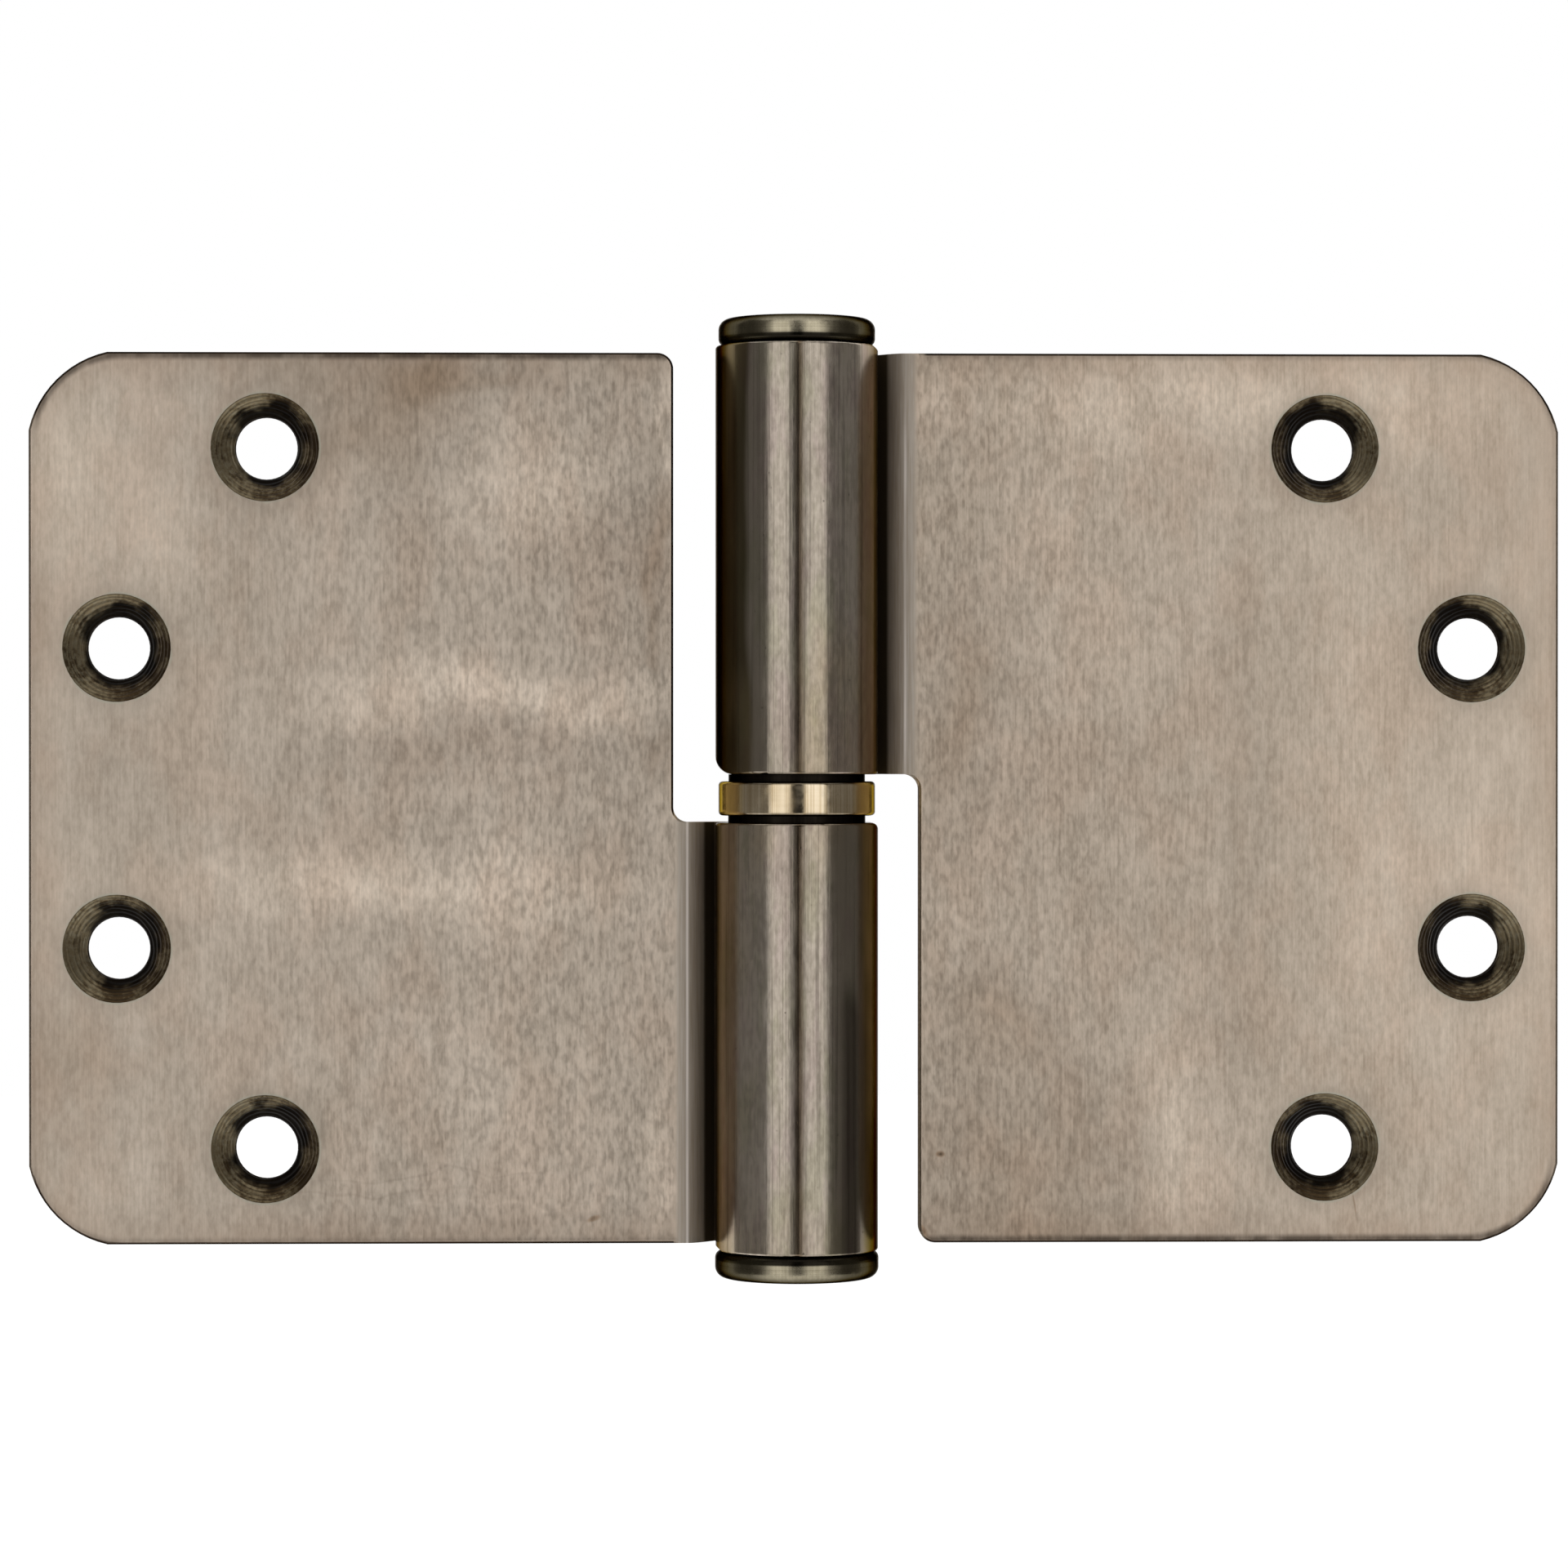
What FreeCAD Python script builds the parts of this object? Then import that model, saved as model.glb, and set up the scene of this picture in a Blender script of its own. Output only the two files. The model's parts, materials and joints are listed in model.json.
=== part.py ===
import FreeCAD, Part
import math
import os

# Ball bearing lift-off hinge, laid open flat, in millimetres.
# The pin stands upright on the Z axis, with the origin in the middle of the bearing.
# +X points to the door leaf and the countersunk faces look along -Y.

V = FreeCAD.Vector
ORIGIN = V(0, 0, 0)
UP = V(0, 0, 1)
BACK = V(0, 1, 0)

# Leaves: one folded sheet each, alike apart from the half turn between them.
sheet = 3.0
leaf_height = 89.0
leaf_reach = 76.5
closed_gap = 3.0
corner_r = 10.3
corner_kink = 12.6
free_corner_r = 1.6
edge_r = 0.35

# Rolled knuckles, and the bend that sets them behind the leaf.
knuckle_bore_d = 10.2
knuckle_rise = 0.5
rise_run = 0.8
bend_angle = 50.0
bend_r = 1.0
seam_gap = 0.45
seam_side = 0.3
notch_clearance = 4.2
notch_r = 1.5
frame_nose_r = 0.8
door_nose_r = 1.8
knuckle_edge_r = 0.3

# Countersunk screw holes: a wide pair near the knuckle and a close pair near the outer edge.
hole_d = 6.2
sink_d = 10.8
sink_angle = 90.0
wide_pair_from_edge = 23.5
wide_pair_from_end = 9.5
close_pair_from_edge = 8.75
close_pair_pitch = 30.0

# Pin: a thick foot pressed into the lower knuckle, a thinner spigot above.
pin_lead = 1.4
pin_lead_angle = 30.0
pin_end_gap = 2.2

# Sleeve pressed into the upper knuckle, which runs on the spigot.
bush_wall = 1.04
bush_lead = 0.4

# Caps pressed into the outer ends of both knuckles.
upper_cap_inset = 0.3
lower_cap_proud = 0.05
cap_head = 2.7
cap_top_r = 1.1
cap_under_r = 0.75
cap_stem = 5.0
stem_lead = 0.6

# Thrust ball bearing between the knuckles: two races, a full ring of balls and a shell.
shell_inset = 0.3
shell_height = 3.4
shell_wall = 0.95
shell_edge_r = 0.4
race_proud = 0.7
ball_room = 0.235
ball_gap = 0.03
groove_depth = 0.35

# Fits, all radial.
press_fit = 0.01
run_fit = 0.05
ball_fit = 0.03

# Sizes that follow from those above.
leaf_front = closed_gap / 2
leaf_back = leaf_front + sheet
half_height = leaf_height / 2
corner_run = corner_r * (math.cos(math.radians(corner_kink)) - math.sin(math.radians(corner_kink)))
bore_r = knuckle_bore_d / 2
knuckle_r = bore_r + sheet
knuckle_end = half_height + knuckle_rise
inner_edge = knuckle_r + notch_clearance
stem_r = bore_r - press_fit
spigot_r = stem_r - bush_wall - run_fit
spigot_top = knuckle_end - cap_stem - pin_end_gap
shell_r = knuckle_r - shell_inset
bearing_half = shell_height / 2 + race_proud
race_bore_r = spigot_r + run_fit
race_r = shell_r - shell_wall
ball_r = (race_r - spigot_r) / 2 - ball_room
ball_track_r = (race_r + spigot_r) / 2
track_bottom = ball_r + ball_fit
race_face = track_bottom - groove_depth
ball_count = int(math.pi / math.asin((ball_r + ball_gap / 2) / ball_track_r))


def at(x, z):
    """A point of a front view outline, on the plane through the pin."""
    return V(x, 0, z)


def polar(radius, degrees):
    """A point of a plan view section, at an angle from +X towards +Y."""
    angle = math.radians(degrees)
    return V(radius * math.cos(angle), radius * math.sin(angle), 0)


def line(start, end):
    return Part.makeLine(start, end)


def arc(start, middle, end):
    return Part.Arc(start, middle, end).toShape()


def turned(points):
    """A solid turned about Z from a section given as (radius, z) pairs."""
    section = Part.makePolygon([V(r, 0, z) for r, z in points] + [V(points[0][0], 0, points[0][1])])
    return Part.Face(section).revolve(ORIGIN, UP, 360)


def rounded(shape, radius, level, around):
    """The shape with its circular edge of one radius at one level rounded off."""
    edges = []
    for edge in shape.Edges:
        box = edge.BoundBox
        flat = abs(box.ZMin - level) < 1e-6 and abs(box.ZMax - level) < 1e-6
        if flat and abs(box.XMax - around) < 1e-6:
            edges.append(edge)
    return shape.makeFillet(radius, edges)


def folded_section():
    """Plan section of the frame leaf: flat, set back by a double bend, rolled round the pin."""
    lean = math.radians(bend_angle)
    ahead = V(math.cos(lean), math.sin(lean), 0)
    outward = V(math.sin(lean), -math.cos(lean), 0)
    half_lean = V(math.sin(lean / 2), -math.cos(lean / 2), 0)
    outer_r = bend_r + sheet
    set_back = bore_r - leaf_front
    slope = (set_back - (outer_r + bend_r) * (1 - math.cos(lean))) / math.sin(lean)

    seam = 180 - math.degrees(math.asin((bore_r - seam_gap) / knuckle_r))
    far = 90 - (360 - (seam - 90)) / 2

    second = V(polar(knuckle_r, seam).x - seam_side, bore_r - bend_r, 0)
    front_out = second - outward * bend_r
    back_out = second - outward * outer_r
    front_in = front_out - ahead * slope
    back_in = back_out - ahead * slope
    first = front_in - outward * outer_r
    bend_start = V(first.x, leaf_front, 0)
    bend_start_back = V(first.x, leaf_back, 0)
    edges = [
        line(V(-leaf_reach, leaf_front, 0), bend_start),
        arc(bend_start, first + half_lean * outer_r, front_in),
        line(front_in, front_out),
        arc(front_out, second - half_lean * bend_r, second + BACK * bend_r),
        line(second + BACK * bend_r, V(0, bore_r, 0)),
        arc(V(0, bore_r, 0), polar(bore_r, far), polar(bore_r, seam)),
        line(polar(bore_r, seam), polar(knuckle_r, seam)),
        arc(polar(knuckle_r, seam), polar(knuckle_r, far), V(0, knuckle_r, 0)),
        line(V(0, knuckle_r, 0), second + BACK * outer_r),
        arc(second + BACK * outer_r, second - half_lean * outer_r, back_out),
        line(back_out, back_in),
        arc(back_in, first + half_lean * bend_r, bend_start_back),
        line(bend_start_back, V(-leaf_reach, leaf_back, 0)),
        line(V(-leaf_reach, leaf_back, 0), V(-leaf_reach, leaf_front, 0)),
    ]
    return Part.Face(Part.Wire(edges))


def corner_middle(corner, x_way, z_way):
    """The middle point of a punched outer corner, which meets both edges at a slight angle."""
    inset = corner_r * (math.cos(math.radians(corner_kink)) - math.sqrt(0.5))
    return corner + V(x_way * inset, 0, z_way * inset)


def round_middle(corner, radius, x_way, z_way):
    """The middle point of a tangent round between two square edges."""
    inset = radius * (1 - math.sqrt(0.5))
    return corner + V(x_way * inset, 0, z_way * inset)


def plate_edges():
    """Front view edges of the plate, from its bottom corner round to the notch."""
    top = half_height
    bottom = -half_height
    notch = -bearing_half
    top_left = at(-leaf_reach, top)
    bottom_left = at(-leaf_reach, bottom)
    free = at(-inner_edge, top)
    nook = at(-inner_edge, notch)
    return [
        arc(at(-leaf_reach + corner_run, bottom), corner_middle(bottom_left, 1, 1),
            at(-leaf_reach, bottom + corner_run)),
        line(at(-leaf_reach, bottom + corner_run), at(-leaf_reach, top - corner_run)),
        arc(at(-leaf_reach, top - corner_run), corner_middle(top_left, 1, -1),
            at(-leaf_reach + corner_run, top)),
        line(at(-leaf_reach + corner_run, top), at(-inner_edge - free_corner_r, top)),
        arc(at(-inner_edge - free_corner_r, top), round_middle(free, free_corner_r, -1, -1),
            at(-inner_edge, top - free_corner_r)),
        line(at(-inner_edge, top - free_corner_r), at(-inner_edge, notch + notch_r)),
        arc(at(-inner_edge, notch + notch_r), round_middle(nook, notch_r, 1, 1),
            at(-inner_edge + notch_r, notch)),
    ]


def leaf_blank(nose_r):
    """The whole front view of the frame leaf: the plate and the width of the roll."""
    notch = -bearing_half
    bottom = -half_height
    tip = -knuckle_end
    nose = at(knuckle_r, notch)
    edges = plate_edges() + [
        line(at(-inner_edge + notch_r, notch), at(knuckle_r - nose_r, notch)),
        arc(at(knuckle_r - nose_r, notch), round_middle(nose, nose_r, -1, -1),
            at(knuckle_r, notch - nose_r)),
        line(at(knuckle_r, notch - nose_r), at(knuckle_r, tip)),
        line(at(knuckle_r, tip), at(rise_run - knuckle_r, tip)),
        line(at(rise_run - knuckle_r, tip), at(-knuckle_r, bottom)),
        line(at(-knuckle_r, bottom), at(-leaf_reach + corner_run, bottom)),
    ]
    blank = Part.Face(Part.Wire(edges)).extrude(BACK * (2 * knuckle_r))
    blank.translate(BACK * -knuckle_r)
    return blank


def punched_edge():
    """What the punch rounds off along the front edges of the plate, as a tool to cut with."""
    notch = -bearing_half
    bottom = -half_height
    edges = plate_edges() + [
        line(at(-inner_edge + notch_r, notch), at(-knuckle_r, notch)),
        line(at(-knuckle_r, notch), at(-knuckle_r, bottom)),
        line(at(-knuckle_r, bottom), at(-leaf_reach + corner_run, bottom)),
    ]
    plate = Part.Face(Part.Wire(edges)).extrude(BACK * sheet)
    plate.translate(BACK * leaf_front)
    front = []
    for edge in plate.Edges:
        box = edge.BoundBox
        if box.YMax < leaf_front + 1e-6 and box.XMin < -knuckle_r - 1e-6:
            front.append(edge)
    return plate.cut(plate.makeFillet(edge_r, front))


def knuckle_edges():
    """What is rounded off both ends of the roll, clear of the sheet that runs into it."""
    length = knuckle_end - bearing_half
    roll = Part.makeCylinder(knuckle_r, length, UP * -knuckle_end)
    smooth = rounded(roll, knuckle_edge_r, -bearing_half, knuckle_r)
    smooth = rounded(smooth, knuckle_edge_r, -knuckle_end, knuckle_r)
    corner = V(-knuckle_r, bore_r - seam_gap, -knuckle_end)
    sheet_side = Part.makeBox(knuckle_r, knuckle_r, length, corner)
    return roll.cut(smooth).cut(sheet_side)


def screw_holes():
    """The four countersunk holes of the frame leaf, as one tool to cut with."""
    sink_depth = (sink_d - hole_d) / 2 / math.tan(math.radians(sink_angle / 2))
    tools = []
    wide_pair = (leaf_reach - wide_pair_from_edge, half_height - wide_pair_from_end)
    close_pair = (leaf_reach - close_pair_from_edge, close_pair_pitch / 2)
    for across, height in (wide_pair, close_pair):
        for side in (-1, 1):
            mouth = V(-across, leaf_front, side * height)
            tools.append(Part.makeCylinder(hole_d / 2, sheet, mouth, BACK))
            tools.append(Part.makeCone(sink_d / 2, hole_d / 2, sink_depth, mouth, BACK))
    return Part.makeCompound(tools)


def frame_side_leaf(nose_r):
    leaf = folded_section().extrude(UP * (2 * knuckle_end))
    leaf.translate(UP * -knuckle_end)
    leaf = leaf.common(leaf_blank(nose_r))
    return leaf.cut(punched_edge()).cut(knuckle_edges()).cut(screw_holes()).Solids[0]


def door_side_leaf(nose_r):
    leaf = frame_side_leaf(nose_r)
    leaf.rotate(ORIGIN, BACK, 180)
    return leaf


def hinge_pin():
    foot = -knuckle_end + cap_stem
    shoulder = -bearing_half
    lead = pin_lead * math.tan(math.radians(pin_lead_angle))
    return turned([
        (0, foot), (stem_r - stem_lead, foot), (stem_r, foot + stem_lead), (stem_r, shoulder),
        (spigot_r, shoulder), (spigot_r, spigot_top - pin_lead), (spigot_r - lead, spigot_top),
        (0, spigot_top),
    ])


def pin_bush():
    bush_bore_r = spigot_r + run_fit
    low = bearing_half
    return turned([
        (bush_bore_r + bush_lead, low), (stem_r, low), (stem_r, spigot_top), (bush_bore_r, spigot_top),
        (bush_bore_r, low + bush_lead),
    ])


def cap(head_r):
    """A cap that stands on the upper knuckle's end, its stem pressed into the bore."""
    seat = knuckle_end
    top = seat + cap_head
    body = turned([
        (0, seat - cap_stem), (stem_r - stem_lead, seat - cap_stem),
        (stem_r, seat - cap_stem + stem_lead), (stem_r, seat), (head_r, seat), (head_r, top), (0, top),
    ])
    body = rounded(body, cap_top_r, top, head_r)
    return rounded(body, cap_under_r, seat, head_r)


def ball_groove():
    """The ring that the balls sweep, with a little room round it."""
    return Part.makeTorus(ball_track_r, track_bottom)


def race(outer_r, lowest):
    """A race disc seen from its ball side, lying on the lower knuckle."""
    disc = turned([
        (race_bore_r, lowest), (outer_r, lowest), (outer_r, -race_face), (race_bore_r, -race_face),
    ])
    return disc.cut(ball_groove()).Solids[0]


def lower_race():
    return race(race_r - press_fit, -bearing_half)


def upper_race():
    disc = race(race_r - run_fit, -bearing_half)
    disc.rotate(ORIGIN, BACK, 180)
    return disc


def bearing_shell():
    half = shell_height / 2
    ring = turned([(race_r, -half), (shell_r, -half), (shell_r, half), (race_r, half)])
    ring = rounded(ring, shell_edge_r, half, shell_r)
    return rounded(ring, shell_edge_r, -half, shell_r)


def ball_places():
    step = 360 / ball_count
    return [polar(ball_track_r, step * (index + 0.5)) for index in range(ball_count)]


def upper_cap():
    return cap(knuckle_r - upper_cap_inset)


def lower_cap():
    shape = cap(knuckle_r + lower_cap_proud)
    shape.rotate(ORIGIN, BACK, 180)
    return shape


nodes = {
    "frame_leaf": frame_side_leaf(frame_nose_r),
    "door_leaf": door_side_leaf(door_nose_r),
    "hinge_pin": hinge_pin(),
    "pin_bush": pin_bush(),
    "upper_cap": upper_cap(),
    "lower_cap": lower_cap(),
    "lower_race": lower_race(),
    "upper_race": upper_race(),
    "bearing_shell": bearing_shell(),
}
for number, place in enumerate(ball_places(), start=1):
    nodes[f"ball_{number:02d}"] = Part.makeSphere(ball_r, place)

os.makedirs("parts", exist_ok=True)
for name, shape in nodes.items():
    shape.exportStep(f"parts/{name}.step")
    print(f"{name:14} solids {len(shape.Solids)} valid {shape.isValid()} volume {shape.Volume:9.2f}")
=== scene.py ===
"""Looks of a stainless steel ball bearing lift-off hinge, laid open flat.

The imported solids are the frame: they keep their shapes and get their finishes here. The ring
of balls and the turned faces of the countersinks are built here, from the same sizes.
Sizes are in millimetres unless a name says otherwise, and meshes are in metres.
"""

import json
import logging
import math
from dataclasses import dataclass, field
from enum import Enum
import bpy
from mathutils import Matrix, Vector


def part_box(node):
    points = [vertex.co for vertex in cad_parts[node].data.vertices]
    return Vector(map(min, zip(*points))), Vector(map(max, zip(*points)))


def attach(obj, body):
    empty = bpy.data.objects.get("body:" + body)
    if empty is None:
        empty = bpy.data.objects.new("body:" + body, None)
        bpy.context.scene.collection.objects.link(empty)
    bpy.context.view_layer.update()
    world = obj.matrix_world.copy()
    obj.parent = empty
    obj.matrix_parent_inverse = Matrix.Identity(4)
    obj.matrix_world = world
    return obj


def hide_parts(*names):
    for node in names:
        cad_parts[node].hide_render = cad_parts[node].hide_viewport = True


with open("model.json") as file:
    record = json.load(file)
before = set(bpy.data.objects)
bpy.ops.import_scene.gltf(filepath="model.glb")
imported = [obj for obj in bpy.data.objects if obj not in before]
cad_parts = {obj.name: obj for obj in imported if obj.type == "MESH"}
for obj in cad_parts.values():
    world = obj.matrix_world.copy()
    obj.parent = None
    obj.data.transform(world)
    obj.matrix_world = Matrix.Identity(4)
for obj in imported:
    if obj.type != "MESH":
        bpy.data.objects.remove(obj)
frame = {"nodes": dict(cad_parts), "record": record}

LOG = logging.getLogger("hinge")
MM = 0.001
Socket = bpy.types.NodeSocket
Feed = float | tuple | Socket
Colour = tuple[float, float, float, float]
Span = tuple[float, float]
Outputs = dict[str, Socket]
FAR_AWAY = 99.0
SAME_POINT = 1e-7
ORIGIN = (0.0, 0.0, 0.0)
WHITE = (1.0, 1.0, 1.0, 1.0)


class Sum(Enum):
    """Sums that the finishes work out over a surface."""

    ADD = "ADD"
    TAKE = "SUBTRACT"
    TIMES = "MULTIPLY"
    OVER = "DIVIDE"
    LEAST = "MINIMUM"
    MOST = "MAXIMUM"
    SIZE = "ABSOLUTE"
    WAVE = "SINE"
    ROUND_WAVE = "COSINE"


class Side(Enum):
    """The two leaves, by what each is screwed to."""

    FRAME = "frame"
    DOOR = "door"


class Lay(Enum):
    """Ways to lay one colour over another."""

    OVER = "MIX"
    DARKEN = "MULTIPLY"


def tone(red: float, green: float, blue: float) -> Colour:
    """A colour as it shows on a screen, turned into the linear values that a shader takes.

    Args:
        red: Red, from 0 to 255.
        green: Green, from 0 to 255.
        blue: Blue, from 0 to 255.

    Returns:
        The linear colour with full alpha.
    """
    linear = []
    for value in (red, green, blue):
        share = value / 255
        linear.append(share / 12.92 if share <= 0.04045 else ((share + 0.055) / 1.055) ** 2.4)
    return (*linear, 1.0)


class Wiring:
    """Adds nodes to one tree and joins them, so that a finish reads from top to bottom."""

    def __init__(self, tree: bpy.types.NodeTree) -> None:
        """Start wiring a tree."""
        self.tree = tree

    def add(self, kind: str, **settings: object) -> bpy.types.Node:
        """Add a node.

        Args:
            kind: The node's type name.
            **settings: Values for the node's own properties.

        Returns:
            The new node.
        """
        node = self.tree.nodes.new(kind)
        for key, value in settings.items():
            setattr(node, key, value)
        return node

    def feed(self, socket: Socket, value: Feed) -> None:
        """Link a socket to another, or set its value.

        Args:
            socket: The input socket.
            value: The socket that it is linked to, or its value.
        """
        if isinstance(value, bpy.types.NodeSocket):
            self.tree.links.new(value, socket)
        else:
            socket.default_value = value

    def sum(self, step: Sum, *values: Feed) -> Socket:
        """Work out one sum.

        Args:
            step: Which sum.
            *values: One or two numbers or sockets.

        Returns:
            The result's socket.
        """
        node = self.add("ShaderNodeMath", operation=step.value)
        for socket, value in zip(node.inputs, values):
            self.feed(socket, value)
        return node.outputs[0]

    def times(self, first: Feed, *others: Feed) -> Socket:
        """Multiply values, from left to right.

        Args:
            first: The first number or socket.
            *others: The numbers or sockets that it is multiplied by.

        Returns:
            The product's socket.
        """
        for value in others:
            first = self.sum(Sum.TIMES, first, value)
        return first

    def plus(self, first: Feed, *others: Feed) -> Socket:
        """Add values, from left to right.

        Args:
            first: The first number or socket.
            *others: The numbers or sockets that are added to it.

        Returns:
            The total's socket.
        """
        for value in others:
            first = self.sum(Sum.ADD, first, value)
        return first

    def fade(
        self, value: Feed, low: float, high: float, start: float = 0.0, end: float = 1.0
    ) -> Socket:
        """Pass smoothly from one level to another as a value goes from low to high.

        Args:
            value: What is followed.
            low: Where the change starts.
            high: Where it is complete.
            start: The level before low.
            end: The level after high.

        Returns:
            The level's socket.
        """
        node = self.add("ShaderNodeMapRange", interpolation_type="SMOOTHSTEP")
        for socket, number in zip(node.inputs, (value, low, high, start, end)):
            self.feed(socket, number)
        return node.outputs[0]

    def stretch(self, vector: Feed, scale: tuple, shift: tuple = ORIGIN) -> Socket:
        """Scale a place, then shift it.

        Args:
            vector: The place.
            scale: Factor along each axis.
            shift: What is added afterwards.

        Returns:
            The new place's socket.
        """
        node = self.add("ShaderNodeMapping", vector_type="POINT")
        self.feed(node.inputs["Vector"], vector)
        node.inputs["Scale"].default_value = scale
        node.inputs["Location"].default_value = shift
        return node.outputs[0]

    def noise(
        self, vector: Feed, scale: Feed = 1.0, detail: float = 3.0, rough: float = 0.6
    ) -> Socket:
        """Read a soft noise.

        Args:
            vector: Where it is read.
            scale: How many waves go to one unit.
            detail: How many finer layers it has.
            rough: How strong the finer layers are.

        Returns:
            The noise's socket, around 0.5.
        """
        node = self.add("ShaderNodeTexNoise")
        self.feed(node.inputs["Vector"], vector)
        self.feed(node.inputs["Scale"], scale)
        node.inputs["Detail"].default_value = detail
        node.inputs["Roughness"].default_value = rough
        return node.outputs[0]

    def split(self, vector: Feed) -> tuple[Socket, Socket, Socket]:
        """Take a place apart.

        Args:
            vector: The place.

        Returns:
            Its X, Y and Z.
        """
        node = self.add("ShaderNodeSeparateXYZ")
        self.feed(node.inputs[0], vector)
        return node.outputs[0], node.outputs[1], node.outputs[2]

    def join(self, x: Feed, y: Feed, z: Feed) -> Socket:
        """Put a place together.

        Args:
            x: Its X.
            y: Its Y.
            z: Its Z.

        Returns:
            The place's socket.
        """
        node = self.add("ShaderNodeCombineXYZ")
        for socket, value in zip(node.inputs, (x, y, z)):
            self.feed(socket, value)
        return node.outputs[0]

    def scale(self, vector: Feed, factor: Feed) -> Socket:
        """Multiply a vector or colour by one factor.

        Args:
            vector: The vector or colour.
            factor: The factor.

        Returns:
            The result's socket.
        """
        node = self.add("ShaderNodeVectorMath", operation="SCALE")
        self.feed(node.inputs[0], vector)
        self.feed(node.inputs["Scale"], factor)
        return node.outputs[0]

    def shake(self, vector: Feed, scale: float, reach: float) -> Socket:
        """Push a place about a little by a soft noise, so that what is laid there isn't regular.

        Args:
            vector: The place.
            scale: How many waves go to one unit.
            reach: How far it is pushed at most, in each direction.

        Returns:
            The shaken place's socket.
        """
        noise = self.add("ShaderNodeTexNoise")
        self.feed(noise.inputs["Vector"], vector)
        noise.inputs["Scale"].default_value = scale
        push = self.stretch(noise.outputs["Color"], (2 * reach,) * 3, (-reach,) * 3)
        node = self.add("ShaderNodeVectorMath", operation="ADD")
        self.feed(node.inputs[0], vector)
        self.feed(node.inputs[1], push)
        return node.outputs[0]

    def length(self, vector: Feed) -> Socket:
        """Measure a vector.

        Args:
            vector: The vector.

        Returns:
            Its length.
        """
        node = self.add("ShaderNodeVectorMath", operation="LENGTH")
        self.feed(node.inputs[0], vector)
        return node.outputs["Value"]

    def blend(self, share: Feed, below: Feed, above: Feed) -> Socket:
        """Pass from one number to another by a share.

        Args:
            share: How much of the second number counts.
            below: The first number.
            above: The second number.

        Returns:
            The blended number's socket.
        """
        node = self.add("ShaderNodeMix", data_type="FLOAT")
        for place, value in ((0, share), (2, below), (3, above)):
            self.feed(node.inputs[place], value)
        return node.outputs[0]

    def paint(self, share: Feed, below: Feed, above: Feed, lay: Lay = Lay.OVER) -> Socket:
        """Lay one colour over another.

        Args:
            share: How much of the upper colour shows.
            below: The lower colour.
            above: The upper colour.
            lay: How it is laid.

        Returns:
            The mixed colour's socket.
        """
        node = self.add("ShaderNodeMix", data_type="RGBA", blend_type=lay.value)
        for place, value in ((0, share), (6, below), (7, above)):
            self.feed(node.inputs[place], value)
        return node.outputs[2]

    def coats(self, colour: Feed, *coats: tuple) -> Socket:
        """Lay several colours over one, in order.

        Args:
            colour: The colour below.
            *coats: Each coat's share and colour, and how it is laid where that isn't plainly over.

        Returns:
            The finished colour's socket.
        """
        for share, above, *lay in coats:
            colour = self.paint(share, colour, above, *lay)
        return colour

    def place(self, effect: "Effect", **values: Feed) -> Outputs:
        """Place a shared effect.

        Args:
            effect: The effect.
            **values: Its inputs by name, with an underscore for each space.

        Returns:
            Its output sockets by name.
        """
        node = self.add("ShaderNodeGroup", node_tree=effect.tree)
        for key, value in values.items():
            self.feed(node.inputs[key.replace("_", " ")], value)
        return {socket.name: socket for socket in node.outputs}


class Effect:
    """A shader node group with named inputs and outputs, which several finishes share."""

    def __init__(self, name: str, inputs: dict[str, Feed], outputs: tuple[str, ...]) -> None:
        """Make the group's sockets.

        Args:
            name: The group's name.
            inputs: Each input's name and usual value; a tuple makes it a vector.
            outputs: The names of the values that it puts out.
        """
        self.tree = bpy.data.node_groups.new(name, "ShaderNodeTree")
        for label, value in inputs.items():
            kind = "NodeSocketVector" if isinstance(value, tuple) else "NodeSocketFloat"
            socket = self.tree.interface.new_socket(label, in_out="INPUT", socket_type=kind)
            socket.default_value = value
        for label in outputs:
            self.tree.interface.new_socket(label, in_out="OUTPUT", socket_type="NodeSocketFloat")
        self.wiring = Wiring(self.tree)
        self.inlet = self.wiring.add("NodeGroupInput").outputs
        self.outlet = self.wiring.add("NodeGroupOutput").inputs

    def put_out(self, **values: Socket) -> None:
        """Link the outputs by name."""
        for key, value in values.items():
            self.wiring.feed(self.outlet[key], value)


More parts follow.
